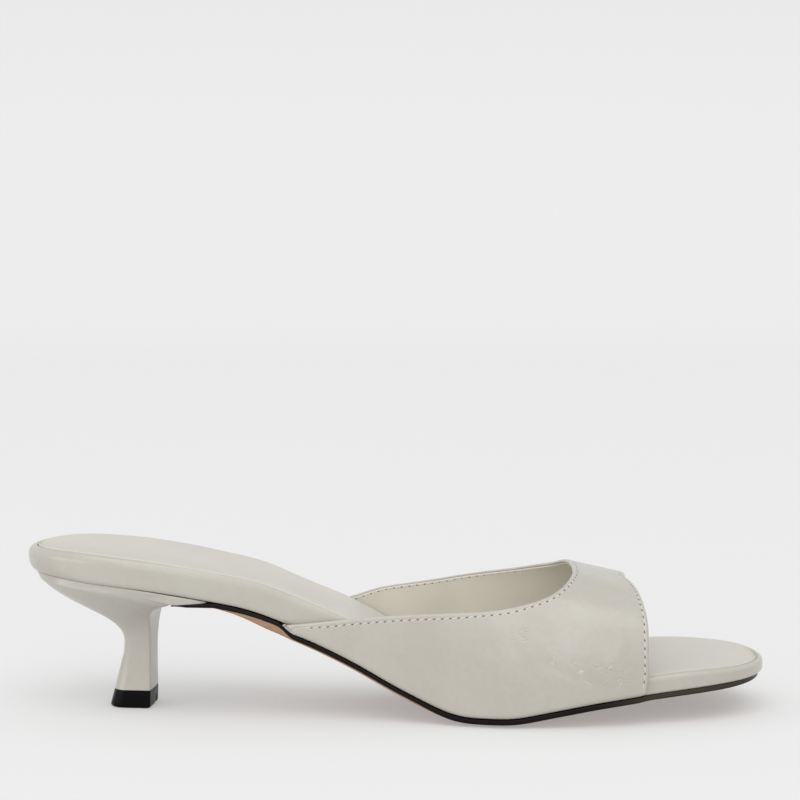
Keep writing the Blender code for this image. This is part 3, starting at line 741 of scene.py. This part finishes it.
def sole_finish(edge, underside):
    """Painted sole edge over bare leather, with a painted highlight on the upper part of the edge
    towards the toe. The map's second number is the depth under the painted band, in millimetres, so
    the paint ends where it passes 0."""
    finish = Finish("sole", IOR=1.5, Specular_IOR_Level=0.10)
    mapped = finish.node("ShaderNodeUVMap", {"uv_map": "place"}).outputs[0]
    _, depth, _ = finish.split(mapped)
    ragged = depth + (finish.noise(1.6, 3.0) - 0.5) * 0.16
    bare = finish.between(ragged, -0.06, 0.06)
    fibre = finish.noise(0.8, 4.0, 0.65, finish.moved(finish.place, scale=(5.0, 1.0, 1.0)))
    tan = finish.mixed(finish.between(fibre, 0.3, 0.75), rgba(underside),
                       rgba([channel * 0.78 for channel in underside]))
    paint = finish.mixed(finish.noise(5.0, 3.0), rgba(edge),
                         rgba([channel * 1.9 for channel in edge]))
    along, _, _ = finish.split(finish.place)
    # Painted highlight: towards the toe the upper part of the painted edge is made lighter, as if it
    # caught the light
    painted_edge_sheen = finish.between(along, 62.0 * MM, 88.0 * MM) * finish.between(depth, -0.6, -1.1)
    paint = finish.mixed(painted_edge_sheen, paint, rgba([channel * 10.0 for channel in edge]))
    normal = finish.bump(fibre, 0.02)
    normal = finish.bump(finish.noise(2.5, 2.0), 0.06, normal=normal)
    return finish.show(Base_Color=finish.mixed(bare, paint, tan),
                       Roughness=0.30 + bare * 0.22 + (fibre - 0.5) * 0.1, Normal=normal)


def rubber_finish(tone):
    """Glossy moulded rubber with a faint texture and lighter scuffs."""
    finish = Finish("rubber", IOR=1.5, Specular_IOR_Level=0.08)
    scuffs = finish.between(finish.noise(1.2, 4.0, 0.7), 0.58, 0.8)
    base = finish.mixed(scuffs * 0.5, rgba(tone), rgba([channel * 6.0 for channel in tone]))
    return finish.show(Base_Color=base, Roughness=0.30 + scuffs * 0.25,
                       Normal=finish.bump(finish.noise(0.6, 3.0), 0.015))


def plain_finish(name, tone, roughness, grain):
    """Thread, and the painted shade of the needle holes: one tone with a slight grain."""
    finish = Finish(name, IOR=1.45)
    speck = finish.noise(grain, 3.0)
    base = finish.mixed(speck * 0.5, rgba(tone), rgba([channel * 0.9 for channel in tone]))
    return finish.show(Base_Color=base, Roughness=roughness + (speck - 0.5) * 0.05)


def stage_finish(floor, backdrop):
    """Matt sheet lit softly from below, taking the backdrop's colour where it curves up."""
    finish = Finish("stage", IOR=1.45, Specular_IOR_Level=0.1, Emission_Color=rgba((1, 1, 1)),
                    Emission_Strength=0.29)
    _, _, height = finish.split(finish.place)
    speck = finish.noise(40.0, 3.0)
    upright = finish.between(height, 0.0, 0.45)
    return finish.show(Base_Color=finish.mixed(upright, rgba(floor), rgba(backdrop)),
                       Roughness=0.9 + (speck - 0.5) * 0.05)


def leather_of(colours, name="leather", gloss=0.36, crinkle_sheen_spots=()):
    """The outer leather, made once for each way it is finished."""
    found = bpy.data.materials.get(name)
    if found is not None:
        return found
    return leather_finish(name, colours.leather, colours.leather_shade, gloss, crinkle_sheen_spots)


def arch_section():
    """Side of the last as a squared arch, the curve whose powered width and height add up to
    one, with its points spaced evenly: way up, width share and height share."""
    turn = np.linspace(0.0, math.pi / 2.0, ARCH_POINTS)
    wide = np.cos(turn) ** (2.0 / ARCH_POWER)
    high = np.sin(turn) ** (2.0 / ARCH_POWER)
    wide[-1] = 0.0
    length = np.concatenate(([0.0], np.cumsum(np.hypot(np.diff(wide), np.diff(high)))))
    return length / length[-1], wide, high


def topline_start(last, side):
    """Place of the top edge for each way up the wall, found along the edge's own curve."""
    s = last.size
    way_up, wide, high = arch_section()
    way = np.linspace(0.0, 1.0, TOPLINE_POINTS)
    x = last.from_back(s.upper_back + (s.upper_throat - s.upper_back) * way)
    foot = last.upper_foot(x) + last.bend(x)
    rise = (s.topline_height * TOPLINE.read(side, way) - foot) / (last.crest(x) - foot)
    up = np.maximum.accumulate(np.interp(np.clip(rise, 0.0, 1.0), high, way_up))
    up[-1] = 1.0
    first = np.argmax(up > 0.0)
    return up[first:], x[first:]


def wall_points(last, side, x, up):
    """Outer face of the upper: the squared arch between the feather line and the crest."""
    s = last.size
    way_up, wide, high = arch_section()
    foot = last.upper_foot(x) + last.bend(x)
    half = last.bed_side(x, side) + s.side_gap + s.upper_wall
    y = mirror_y(side) * half * np.interp(up, way_up, wide)
    z = foot + (last.crest(x) - foot) * np.interp(up, way_up, high)
    return np.stack([x, y + 0.0 * x, z], axis=-1)


WALL_ROWS = 132
MARGIN_ROWS = 5
BEND_ROWS = 6
MIDDLE_STEPS = 84
WALL_FIRST = MARGIN_ROWS + BEND_ROWS


def vamp_side(last, side):
    """Half of the upper's outer face: rows from the margin's edge up to the crest, steps from
    the top edge to the front edge, with even lines beside both edges."""
    s = last.size
    up_at, x_at = topline_start(last, side)
    up = np.linspace(0.0, 1.0, WALL_ROWS + 1)
    start = np.interp(up, up_at, x_at)
    end = last.from_back(s.upper_front) + s.length * FRONT_EDGE.read(side, up)
    edge = wall_points(last, side, start, up)
    along = unit(wall_points(last, side, start + MM, up) - edge)
    run = unit(np.gradient(edge, axis=0))
    square = np.linalg.norm(np.cross(along, run), axis=-1)
    square = np.convolve(np.pad(square, 7, mode="edge"), np.full(15, 1.0 / 15.0), mode="valid")
    reach = 1.0 / np.clip(square, 0.22, 1.0)
    reach = 1.0 + (reach - 1.0) * ease((1.0 - up) / 0.08)
    lip = start[:, None] + reach[:, None] * LIP_STEPS
    front = end[:, None] - LIP_STEPS[::-1]
    blend = np.linspace(0.0, 1.0, MIDDLE_STEPS + 1)[1:-1]
    middle = lip[:, -1:] + (front[:, :1] - lip[:, -1:]) * blend
    x = np.concatenate([lip, middle, front], axis=1)
    wall = wall_points(last, side, x, up[:, None])
    foot_x = x[0]
    along_foot = (foot_x - foot_x[0]) / (foot_x[-1] - foot_x[0])
    cut = s.margin_back * (1.0 - along_foot) - s.margin_front * along_foot
    low = [(inward, math.pi / 2.0) for inward in np.linspace(s.margin, s.feather, MARGIN_ROWS + 1)]
    low = [(inward, 0.0) for inward, _ in low[:-1]]
    low += [(0.0, turn) for turn in np.linspace(0.0, math.pi / 2.0, BEND_ROWS + 1)[:-1]]
    rows = []
    for inward, turn in low:
        bend = last.bend(foot_x)
        inward = np.maximum(inward, bend * (1.0 - math.sin(turn)))
        x = foot_x + cut * ease(inward / (3.2 * MM))
        bed = last.bed_side(x, side)
        half = bed + s.side_gap + s.upper_wall
        z = last.upper_foot(x, np.minimum((half - inward) / bed, 1.0))
        z = z + bend * (1.0 - math.cos(turn))
        rows.append(np.column_stack([x, mirror_y(side) * (half - inward), z]))
    return np.concatenate([np.stack(rows, axis=0), wall], axis=0)


def normals_of(grid):
    """Outward unit normals of a grid: the cross product of its two directions."""
    normal = unit(np.cross(np.gradient(grid, axis=1), np.gradient(grid, axis=0)))
    middle = grid.shape[0] // 2
    return normal if normal[middle, grid.shape[1] // 2, 2] > 0.0 else -normal


def folds(points):
    """Depth of the vamp's soft folds: each is a trough or ridge, a bell across its width and a
    softer bell along its length, laid out as seen from the side."""
    depth = np.zeros(points.shape[:-1])
    for row in FOLDS.values:
        fold = dict(zip(FOLDS.columns, row))
        turn = math.radians(fold["turn"])
        x = points[..., 0] / MM - fold["x"]
        z = points[..., 2] / MM - fold["z"]
        along = (x * math.cos(turn) + z * math.sin(turn)) / (0.5 * fold["length"])
        over = (z * math.cos(turn) - x * math.sin(turn)) / (0.5 * fold["width"])
        near = ease(0.5 - fold["outer"] * points[..., 1] / (10.0 * MM))
        depth -= fold["depth"] * MM * np.exp(-along ** 4 - over ** 2) * near
    return depth


def round_edge(distance, radius):
    """Share of the full thickness near a rounded edge: a quarter circle over the radius."""
    near = np.clip(1.0 - distance / radius, 0.0, 1.0)
    return np.sqrt(1.0 - near ** 2)


def vamp_form(last):
    """Whole outer face of the upper from one margin over the crest to the other, its normals,
    and each step's distance from the nearer free edge."""
    outer = vamp_side(last, "outer")
    inner = vamp_side(last, "inner")
    face = np.concatenate([outer, inner[-2::-1]], axis=0)
    middle = np.full(MIDDLE_STEPS - 1, LIP_STEPS[-1] + MM)
    distance = np.concatenate([LIP_STEPS, middle, LIP_STEPS[::-1]])
    return face, normals_of(face), distance


class MULE_OT_vamp(Operator):
    """Add the vamp: outer leather with turned edges over its lining"""

    bl_idname = "mule.vamp"
    bl_label = "Vamp"

    def execute(self, context):
        s, colours = context.scene.mule_sizes, context.scene.mule_colours
        last = Last(s)
        face, normal, distance = vamp_form(last)
        leather = s.upper_wall - s.lining - 0.05 * MM
        half = 0.5 * leather * round_edge(distance, 0.5 * leather)[None, :, None]
        seam = np.exp(-((distance - LIP_STEPS[SEAM]) / (0.34 * MM)) ** 2)
        swell = np.exp(-((distance - 0.8 * MM) / (0.45 * MM)) ** 2)
        roll = 0.20 * MM * np.clip(1.0 - distance / (1.3 * MM), 0.0, 1.0) ** 2
        relief = (0.07 * MM * swell - 0.07 * MM * seam)[None, :] + folds(face)
        relief[:WALL_FIRST] = 0.0
        relief[-WALL_FIRST:] = 0.0
        relief *= np.minimum(distance / (0.5 * MM), 1.0)
        middle = face - (0.5 * leather + roll)[None, :, None] * normal
        outside = middle + (half + relief[..., None]) * normal
        inside = middle - half * normal
        ends = [np.stack([outside[row], inside[row]], axis=0) for row in (0, -1)]
        add_piece("vamp", [outside, inside, *ends],
                  leather_of(colours, "vamp_leather", 0.34, CRINKLE_SHEEN_SPOTS), ("upper",))

        first = np.argmax(distance >= 0.4 * MM)
        rows = slice(0, None, 2)
        lining_face = face[rows, first:-first]
        lining_normal = normal[rows, first:-first]
        lining_distance = distance[first:-first] - distance[first]
        thickness = 0.5 * s.lining * round_edge(lining_distance, 0.5 * s.lining)
        centre = lining_face - (s.upper_wall - 0.5 * s.lining) * lining_normal
        rise = thickness[None, :, None] * lining_normal
        over, under = centre + rise, centre - rise
        ends = [np.stack([over[row], under[row]], axis=0) for row in (0, -1)]
        add_piece("vamp_lining", [over, under, *ends], lining_finish(colours.lining))
        return {"FINISHED"}


def resampled(points, normals, pitch, free):
    """Even places along a line: its middle points, directions and normals, a pitch apart and
    with a free length left at both ends."""
    run = np.concatenate(([0.0], np.cumsum(np.linalg.norm(np.diff(points, axis=0), axis=1))))
    places = np.arange(free, run[-1] - free, pitch)

    def read(values, where):
        return np.column_stack([np.interp(where, run, values[:, axis]) for axis in range(3)])

    along = unit(read(points, places + 0.2 * pitch) - read(points, places - 0.2 * pitch))
    return read(points, places), along, unit(read(normals, places))


def beads(places, along, up, length, width, height, sides=8, rings=8, power=0.6):
    """Grids of rounded beads: the half width is a power of the sine of the turn from end to
    end, so that a small power gives blunt ends."""
    turn = np.linspace(0.0, math.pi, rings + 1)
    round_turn = np.linspace(0.0, 2.0 * math.pi, sides + 1)
    girth = np.maximum(np.sin(turn), 0.0) ** power
    local = np.stack([
        -0.5 * length * np.cos(turn)[:, None] + 0.0 * round_turn[None, :],
        0.5 * width * girth[:, None] * np.cos(round_turn)[None, :],
        0.5 * height * girth[:, None] * np.sin(round_turn)[None, :]], axis=-1)
    side = np.cross(up, along)
    frames = np.stack([along, unit(side), np.cross(along, unit(side))], axis=1)
    made = np.einsum("rsk,nkj->nrsj", local, frames) + places[:, None, None, :]
    return list(made)


class MULE_OT_stitching(Operator):
    """Add the two rows of stitches along the vamp's edges, outside and on the lining, with dark
    beads that paint the shade of the needle holes
    """

    bl_idname = "mule.stitching"
    bl_label = "Stitching"

    def execute(self, context):
        s, colours = context.scene.mule_sizes, context.scene.mule_colours
        face, normal, distance = vamp_form(Last(s))
        threads, hole_shades = [], []
        wall = slice(WALL_FIRST + 1, face.shape[0] - WALL_FIRST - 1)
        relief = folds(face)
        rows = ((SEAM, 0.04 * MM, 1.0), (LINING_SEAM, s.upper_wall - 0.02 * MM, -1.0))
        for from_edge, depth, sign in rows:
            for step, free in ((from_edge, 5.0 * MM), (face.shape[1] - 1 - from_edge, 1.6 * MM)):
                up_line = sign * normal[wall, step]
                sunk = depth - relief[wall, step, None] * (sign > 0.0)
                line = face[wall, step] - sunk * normal[wall, step]
                place, along, up = resampled(line, up_line, s.stitch, free)
                slanted = (along * math.cos(STITCH_SLANT)
                           + np.cross(up, along) * math.sin(STITCH_SLANT))
                threads += beads(place, slanted, up, 0.58 * s.stitch, s.thread, 0.6 * s.thread)
                # Painted shade: a small dark bead beside each stitch stands for the shade inside its
                # needle hole
                hole_shade = place + 0.5 * s.stitch * along
                hole_shades += beads(hole_shade, slanted, up, 0.80 * MM, 0.40 * MM, 0.12 * MM, 8, 6, 0.8)
        add_piece("vamp_stitches", threads, plain_finish("thread", colours.thread, 0.55, 0.3))
        add_piece("stitch_hole_shades", hole_shades, plain_finish("stitch_hole_shade", colours.hole_shade, 0.8, 0.3))
        return {"FINISHED"}


STITCH_SLANT = math.radians(16.0)
WRAP_STATIONS = 300
WRAP_CURVE = 9
WRAP_ACROSS = 20


class MULE_OT_footbed(Operator):
    """Add the footbed's leather wrap and the sock that lies in it"""

    bl_idname = "mule.footbed"
    bl_label = "Footbed"

    def execute(self, context):
        s, colours = context.scene.mule_sizes, context.scene.mule_colours
        last = Last(s)
        angles = stations(last, WRAP_STATIONS)
        share = (1.0 - np.cos(angles)) / 2.0
        rim = RIM.read("width", share) * MM
        base = (1.0 + 1.6 * (1.0 - ease(share / 0.10))) * MM
        low_up = 0.16 + 0.42 * last.seat_round(last.x_of(share))
        floor_corner = 0.25 * MM
        turn = np.linspace(0.0, math.pi / 2.0, WRAP_CURVE + 1)
        levels = [(base * (1.0 - math.sin(t)), low_up * (1.0 - math.cos(t))) for t in turn]
        levels += [(0.0 * rim, low_up + (0.66 - low_up) * up) for up in (0.25, 0.5, 0.75)]
        levels += [((rim - floor_corner) * (1.0 - math.cos(t)), 0.68 + 0.32 * math.sin(t))
                   for t in turn]

        def recess(x, way):
            return last.bed_top(x) - s.recess * last.slant(x) - s.dish * (1.0 - way ** 2)

        grids = []
        for side in ("outer", "inner"):
            lines = []
            for inward, up in levels:
                def height(x, up=up):
                    low = last.bed_underside(x)
                    return low + up * (last.bed_top(x) - low)
                lines.append(column(last, angles, side, inward, height))
            lines.append(column(last, angles, side, rim,
                                lambda x: last.bed_top(x) - floor_corner))
            lines.append(column(last, angles, side, rim, lambda x: recess(x, 1.0)))
            grids.append(np.stack(lines, axis=1))
        for place, height in ((0, last.bed_underside), (-1, recess)):
            grids.append(across(grids[0][:, place], grids[1][:, place], height, WRAP_ACROSS))
        add_piece("footbed_wrap", grids, leather_of(colours), ("footbed",))

        forward = ease((share - 0.20) / 0.10)
        tip = ease((share - 0.85) / 0.10)
        sock_inset = rim + (0.22 - 0.15 * forward - 0.05 * tip) * MM
        corner = (0.45 - 0.15 * forward - 0.15 * tip) * MM
        lift = s.gap + s.sock
        grids = []
        for side in ("outer", "inner"):
            lines = [column(last, angles, side, sock_inset,
                            lambda x: recess(x, 1.0) + s.gap * last.slant(x))]
            for t in turn:
                def height(x, t=t):
                    top = recess(x, 1.0) + lift * last.slant(x)
                    return top - corner * (1.0 - math.sin(t))
                lines.append(column(last, angles, side, sock_inset + corner * (1.0 - math.cos(t)),
                                    height))
            grids.append(np.stack(lines, axis=1))
        grids.append(across(grids[0][:, 0], grids[1][:, 0],
                            lambda x, way: recess(x, way) + s.gap * last.slant(x), WRAP_ACROSS))
        grids.append(across(grids[0][:, -1], grids[1][:, -1],
                            lambda x, way: recess(x, way) + lift * last.slant(x), WRAP_ACROSS))
        add_piece("sock", grids, sock_finish(colours.sock), ("insole",))
        return {"FINISHED"}


def smoothed(loop, times):
    """A closed loop with its corners cut a few times, at a quarter of each side."""
    for _ in range(times):
        following = np.roll(loop, -1, axis=0)
        first = 0.75 * loop + 0.25 * following
        second = 0.25 * loop + 0.75 * following
        loop = np.stack([first, second], axis=1).reshape(-1, loop.shape[1])
    return loop


def stem_half():
    """Half outline of the stem: a rounded back, straight sides and a slightly crowned breast,
    as the way from back to breast and the share of the half width."""
    turn = np.linspace(0.0, math.pi / 2.0, STEM_BACK_POINTS)
    way = STEM_BACK_SHARE * (1.0 - np.cos(turn) ** (2.0 / STEM_BACK_POWER))
    half = np.sin(turn) ** (2.0 / STEM_BACK_POWER)
    side = np.linspace(0.50, 0.90, 8)
    corner = [(0.935, 0.995), (0.965, 0.985), (0.985, 0.97), (0.995, 0.95), (1.00, 0.915),
              (1.005, 0.80), (1.01, 0.50), (1.013, 0.25), (1.015, 0.0)]
    corner_way, corner_half = zip(*corner)
    return (np.concatenate([way, side, corner_way]),
            np.concatenate([half, np.ones_like(side), corner_half]))


def heel_loop(last, back_x, front_x, half_width, seat):
    """Plan of one closed section of the heel, as signed points with their way to the breast."""
    s = last.size
    way, stem = stem_half()
    sides = []
    for side in ("outer", "inner"):
        x_seat = last.from_back(np.clip(way, 0.0, 1.0) * s.wing)
        wide = last.bed_side(x_seat, side) / (s.seat_width / 2.0)
        wide = np.where(way > BREAST_WAY, wide * stem, wide)
        x = back_x + (front_x - back_x) * way
        y = mirror_y(side) * half_width * (stem * (1.0 - seat) + wide * seat)
        sides.append(np.column_stack([x, y]))
    loop = smoothed(np.concatenate([sides[0], sides[1][-2:0:-1]]), 2)
    centre = np.array([last.from_back(TURN_WAY * s.breast), 0.0])
    angle = -math.radians(6.0) * (1.0 - seat)
    spin = np.array([[math.cos(angle), -math.sin(angle)], [math.sin(angle), math.cos(angle)]])
    loop = (loop - centre) @ spin.T + centre
    return loop, np.clip((loop[:, 0] - back_x) / (front_x - back_x), 0.0, 1.0)


def closed(ring):
    return np.concatenate([ring, ring[:1]])


def ring_cap(ring, rows=6):
    """Grid across a closed ring, between its outer and its inner half."""
    half = len(ring) // 2
    outer = ring[:half + 1]
    inner = np.concatenate([ring[:1], ring[:half - 1:-1]])
    blend = np.linspace(0.0, 1.0, rows)[None, :, None]
    return outer[:, None, :] * (1.0 - blend) + inner[:, None, :] * blend


class MULE_OT_heel(Operator):
    """Add the leather cover of the heel, from its top piece to its seat and wing"""

    bl_idname = "mule.heel"
    bl_label = "Heel cover"

    def execute(self, context):
        s, colours = context.scene.mule_sizes, context.scene.mule_colours
        last = Last(s)
        seat_height = last.seat_height()
        first, final = HEEL_SECTIONS.values[[0, -1], 0]
        rings = []
        for level in np.linspace(first, final, 90):
            read = {name: float(HEEL_SECTIONS.read(name, level)) for name in HEEL_SECTIONS.columns}
            loop, way = heel_loop(last, last.from_back(read["back"] * s.breast),
                                  last.from_back(read["front"] * s.breast),
                                  read["half"] * s.seat_width, read["seat"])
            bend = 1.0 + 0.6 * read["seat"]
            z = seat_height * (level + (read["front_height"] - level) * way ** bend)
            rings.append(np.column_stack([loop, z]))
        seat, _ = heel_loop(last, last.from_back(2.7 * MM), last.from_back(s.wing + 0.9 * MM),
                            s.seat_width / 2.0 - 0.8 * MM, 1.0)
        opening = ease((seat[:, 0] - last.from_back(30.0 * MM)) / (20.0 * MM))
        seam = s.gap * (0.2 + 0.8 * opening)
        top = last.bed_underside(seat[:, 0]) - seam * last.slant(seat[:, 0])
        over_sole = last.outsole_top(seat[:, 0]) + 0.1 * MM * last.slant(seat[:, 0])
        on_sole = ease((seat[:, 0] - last.from_back(s.breast - 3.1 * MM)) / (4.0 * MM))
        seated = top - 0.6 * MM
        low = seated + (np.minimum(over_sole, top - 0.15 * MM) - seated) * on_sole
        low_ring = np.column_stack([seat, low])
        for blend in np.linspace(0.0, 1.0, 7)[1:-1]:
            rings.append(rings[89] * (1.0 - blend) + low_ring * blend)
        rings.append(low_ring)
        for up, inset in ((0.7, 0.0), (0.93, 0.05), (1.0, 0.16)):
            ring = np.column_stack([seat, low + (top - low) * up])
            ring[:, :2] -= unit(seat - seat.mean(axis=0)) * inset * MM
            rings.append(ring)
        wall = np.stack([closed(ring) for ring in rings], axis=0)
        add_piece("heel_cover", [wall, ring_cap(rings[0]), ring_cap(rings[-1])],
                  leather_of(colours), ("heel",), sharp=50.0)
        return {"FINISHED"}


class MULE_OT_top_piece(Operator):
    """Add the rubber top piece under the heel"""

    bl_idname = "mule.tip"
    bl_label = "Top piece"

    def execute(self, context):
        s, colours = context.scene.mule_sizes, context.scene.mule_colours
        last = Last(s)
        row = dict(zip(HEEL_SECTIONS.columns, HEEL_SECTIONS.values[0]))
        top_back = last.from_back(row["back"] * s.breast)
        top_front = last.from_back(row["front"] * s.breast)
        top_z = row["back_height"] * last.seat_height() - 0.06 * MM
        floor_front = top_front - 0.1 * MM
        floor_back = floor_front - s.tip_length
        chamfer = s.tip_chamfer
        levels = [(0.0, chamfer), (0.12 * chamfer, 0.62 * chamfer), (0.45 * chamfer, 0.2 * chamfer),
                  (chamfer, 0.0)]
        rings = []
        for z, inset in levels + [(z, 0.0) for z in np.linspace(chamfer, top_z, 9)[1:]]:
            up = np.clip((z - chamfer) / (top_z - chamfer), 0.0, 1.0)
            edge = 0.08 * MM * (up >= 1.0)
            back = floor_back + (top_back - floor_back) * up + inset + edge
            front = floor_front + (top_front - floor_front) * up - inset - edge
            half = s.tip_width / 2.0 + (row["half"] * s.seat_width - s.tip_width / 2.0) * up
            loop, way = heel_loop(last, back, front, half - inset - edge, 0.0)
            notch = np.exp(-((loop[:, 1] - 2.4 * MM) / (0.7 * MM)) ** 2) * (way > 0.97)
            loop[:, 0] -= 0.35 * MM * notch * ease((3.6 * MM - z) / MM)
            rings.append(np.column_stack([loop, np.full(len(loop), z)]))
        wall = np.stack([closed(ring) for ring in rings], axis=0)
        add_piece("heel_tip", [wall, ring_cap(rings[0]), ring_cap(rings[-1])],
                  rubber_finish(colours.rubber), ("top_piece",), sharp=30.0)
        return {"FINISHED"}


class MULE_OT_sole(Operator):
    """Add the outsole with its painted edge and bare underside"""

    bl_idname = "mule.sole"
    bl_label = "Outsole"

    def execute(self, context):
        s, colours = context.scene.mule_sizes, context.scene.mule_colours
        last = Last(s)
        angles = stations(last, 260, s.breast / s.length)
        share = (1.0 - np.cos(angles)) / 2.0
        x = last.x_of(share)
        under = last.margin_drop(x) / (s.upper_wall + s.gap)
        under = under * (1.0 - ease((share - LEDGE_END) / LEDGE_REACH))
        inset = s.gap - under * (s.upper_wall + s.side_gap - 0.7 * MM)
        inset = inset + 1.1 * MM * ease((share - 0.93) / 0.07)
        thin = last.outsole_top(x) - last.tread(x)
        painted = s.edge_paint + 0.8 * MM * ease((share - 0.52) / 0.08)
        corner = np.minimum(0.5 * MM, 0.4 * thin)
        turn = np.linspace(0.0, math.pi / 2.0, 7)
        grids, places = [], []
        for side in ("outer", "inner"):
            lines, depths = [], []
            for inward, drop in ((0.15 * MM, 0.0), (0.04 * MM, 0.05 * MM), (0.0, 0.16 * MM)):
                lines.append(column(last, angles, side, inset + inward,
                                    lambda x, drop=drop: last.outsole_top(x) - drop))
                depths.append(np.full_like(share, drop))
            for t in turn:
                inward = corner * (1.0 - math.cos(t))
                line = column(last, angles, side, inset + inward, last.tread)
                line[:, 2] += corner * (1.0 - math.sin(t))
                lines.append(line)
                depths.append(thin - corner * (1.0 - math.sin(t)) + inward)
            grids.append(np.stack(lines, axis=1))
            depth = (np.stack(depths, axis=1) - painted[:, None]) / MM
            places.append(np.stack([np.repeat(x[:, None], len(lines), axis=1) / MM, depth], axis=-1))
        for place, height, deep in ((0, last.outsole_top, -9.0), (-1, last.tread, 9.0)):
            grids.append(across(grids[0][:, place], grids[1][:, place], height, 24))
            flat = grids[-1]
            edge = np.minimum(np.arange(25), 24 - np.arange(25))[None, :] > 0
            start = places[0][:, place, 1][:, None]
            depth = np.where(edge, deep, start) + 0.0 * flat[..., 0]
            places.append(np.stack([flat[..., 0] / MM, depth], axis=-1))
        top_edge = grids[2][0]
        low_edge = grids[3][0]
        grids.append(np.stack([top_edge, low_edge], axis=0))
        places.append(np.stack([np.zeros((2, 25)), np.full((2, 25), -9.0)], axis=-1))
        half = len(turn) + 3
        for index in (0, 1):
            side_rim = grids[index][0]
            fan = np.stack([side_rim, np.linspace(side_rim[0], side_rim[-1], half)], axis=0)
            grids.append(fan)
            places.append(np.stack([np.zeros((2, half)), np.full((2, half), -9.0)], axis=-1))
        add_piece("sole", grids, sole_finish(colours.edge, colours.underside),
                  ("outsole",), places=places)
        return {"FINISHED"}


def area_light(name, place, aim, width, height, power):
    """A soft rectangular light at a place, turned to look at a point."""
    data = bpy.data.lights.new(name, "AREA")
    data.shape = "RECTANGLE"
    data.size = width
    data.size_y = height
    data.energy = power
    light = bpy.data.objects.new(name, data)
    bpy.context.scene.collection.objects.link(light)
    light.location = place
    direction = light.location - Vector(aim)
    light.rotation_euler = direction.to_track_quat("Z", "Y").to_euler()
    return light


SOFTBOX_POWER = 3.1
LOW_FILL_POWER = 2.2
OVERHEAD = 1.05
TENT = 0.86


class MULE_OT_stage(Operator):
    """Add the pale floor, the soft lights and the camera"""

    bl_idname = "mule.stage"
    bl_label = "Stage"

    def execute(self, context):
        scene = context.scene
        colours = scene.mule_colours
        run = np.linspace(0.0, 1.0, 60)
        turn = np.clip((run - 0.5) / 0.25, 0.0, 1.0) * math.pi / 2.0
        flat, radius, wall = 1.6, 0.7, 1.6
        y = -1.4 + (1.4 + flat) * np.minimum(run / 0.5, 1.0) + radius * np.sin(turn)
        z = radius * (1.0 - np.cos(turn)) + wall * np.clip((run - 0.75) / 0.25, 0.0, 1.0)
        x = np.linspace(-3.5, 3.5, 15)
        grid = np.stack([x[None, :] + 0.0 * y[:, None], y[:, None] + 0.0 * x[None, :],
                         z[:, None] + 0.0 * x[None, :]], axis=-1)
        mesh = bpy.data.meshes.new("backdrop")
        mesh.from_pydata(grid.reshape(-1, 3).tolist(), [],
                         grid_faces(60, 15, 0)[:, ::-1].tolist())
        mesh.shade_smooth()
        mesh.materials.append(stage_finish(colours.floor, colours.backdrop))
        backdrop = bpy.data.objects.new("backdrop", mesh)
        scene.collection.objects.link(backdrop)

        vamp = Vector((0.045, 0.0, 0.030))
        area_light("softbox", Vector((0.123, -1.290, 0.430)), vamp, 1.01, 0.77, SOFTBOX_POWER)
        heel = Vector((-0.080, 0.0, 0.040))
        area_light("low fill", Vector((-1.000, -0.550, 0.160)), heel, 0.90, 0.28, LOW_FILL_POWER)
        data = bpy.data.lights.new("overhead", "SUN")
        data.energy = OVERHEAD
        data.angle = math.radians(55.0)
        overhead = bpy.data.objects.new("overhead", data)
        scene.collection.objects.link(overhead)
        overhead.rotation_euler = (math.radians(28.0), 0.0, math.radians(8.0))

        world = bpy.data.worlds.new("tent")
        world.use_nodes = True
        light = world.node_tree.nodes["Background"]
        light.inputs["Color"].default_value = (1.0, 1.0, 1.0, 1.0)
        light.inputs["Strength"].default_value = TENT
        scene.world = world
        scene.view_settings.view_transform = "Standard"

        data = bpy.data.cameras.new("camera")
        data.lens = 117.0
        data.sensor_width = 36.0
        camera = bpy.data.objects.new("camera", data)
        scene.collection.objects.link(camera)
        camera.location = (0.0013, -0.8634, 0.1830)
        camera.rotation_euler = (math.radians(84.7), 0.0, 0.0)
        scene.camera = camera
        return {"FINISHED"}


PIECES = (MULE_OT_stage, MULE_OT_sole, MULE_OT_footbed, MULE_OT_heel, MULE_OT_top_piece,
          MULE_OT_vamp, MULE_OT_stitching)


class MULE_PT_panel(Panel):
    """Lists the shoe's pieces in the sidebar"""

    bl_idname = "MULE_PT_panel"
    bl_label = "Kitten-heel mule"
    bl_space_type = "VIEW_3D"
    bl_region_type = "UI"
    bl_category = "Mule"

    def draw(self, context):
        for piece in PIECES:
            self.layout.operator(piece.bl_idname)


CLASSES = (MuleSizes, MuleColours, *PIECES, MULE_PT_panel)


def register():
    for cls in CLASSES:
        bpy.utils.register_class(cls)
    bpy.types.Scene.mule_sizes = PointerProperty(type=MuleSizes)
    bpy.types.Scene.mule_colours = PointerProperty(type=MuleColours)


def unregister():
    del bpy.types.Scene.mule_colours
    del bpy.types.Scene.mule_sizes
    for cls in reversed(CLASSES):
        bpy.utils.unregister_class(cls)


def main():
    """Build each piece in turn."""
    register()
    for piece in PIECES:
        group, name = piece.bl_idname.split(".")
        getattr(getattr(bpy.ops, group), name)()


if __name__ == "__main__":
    main()
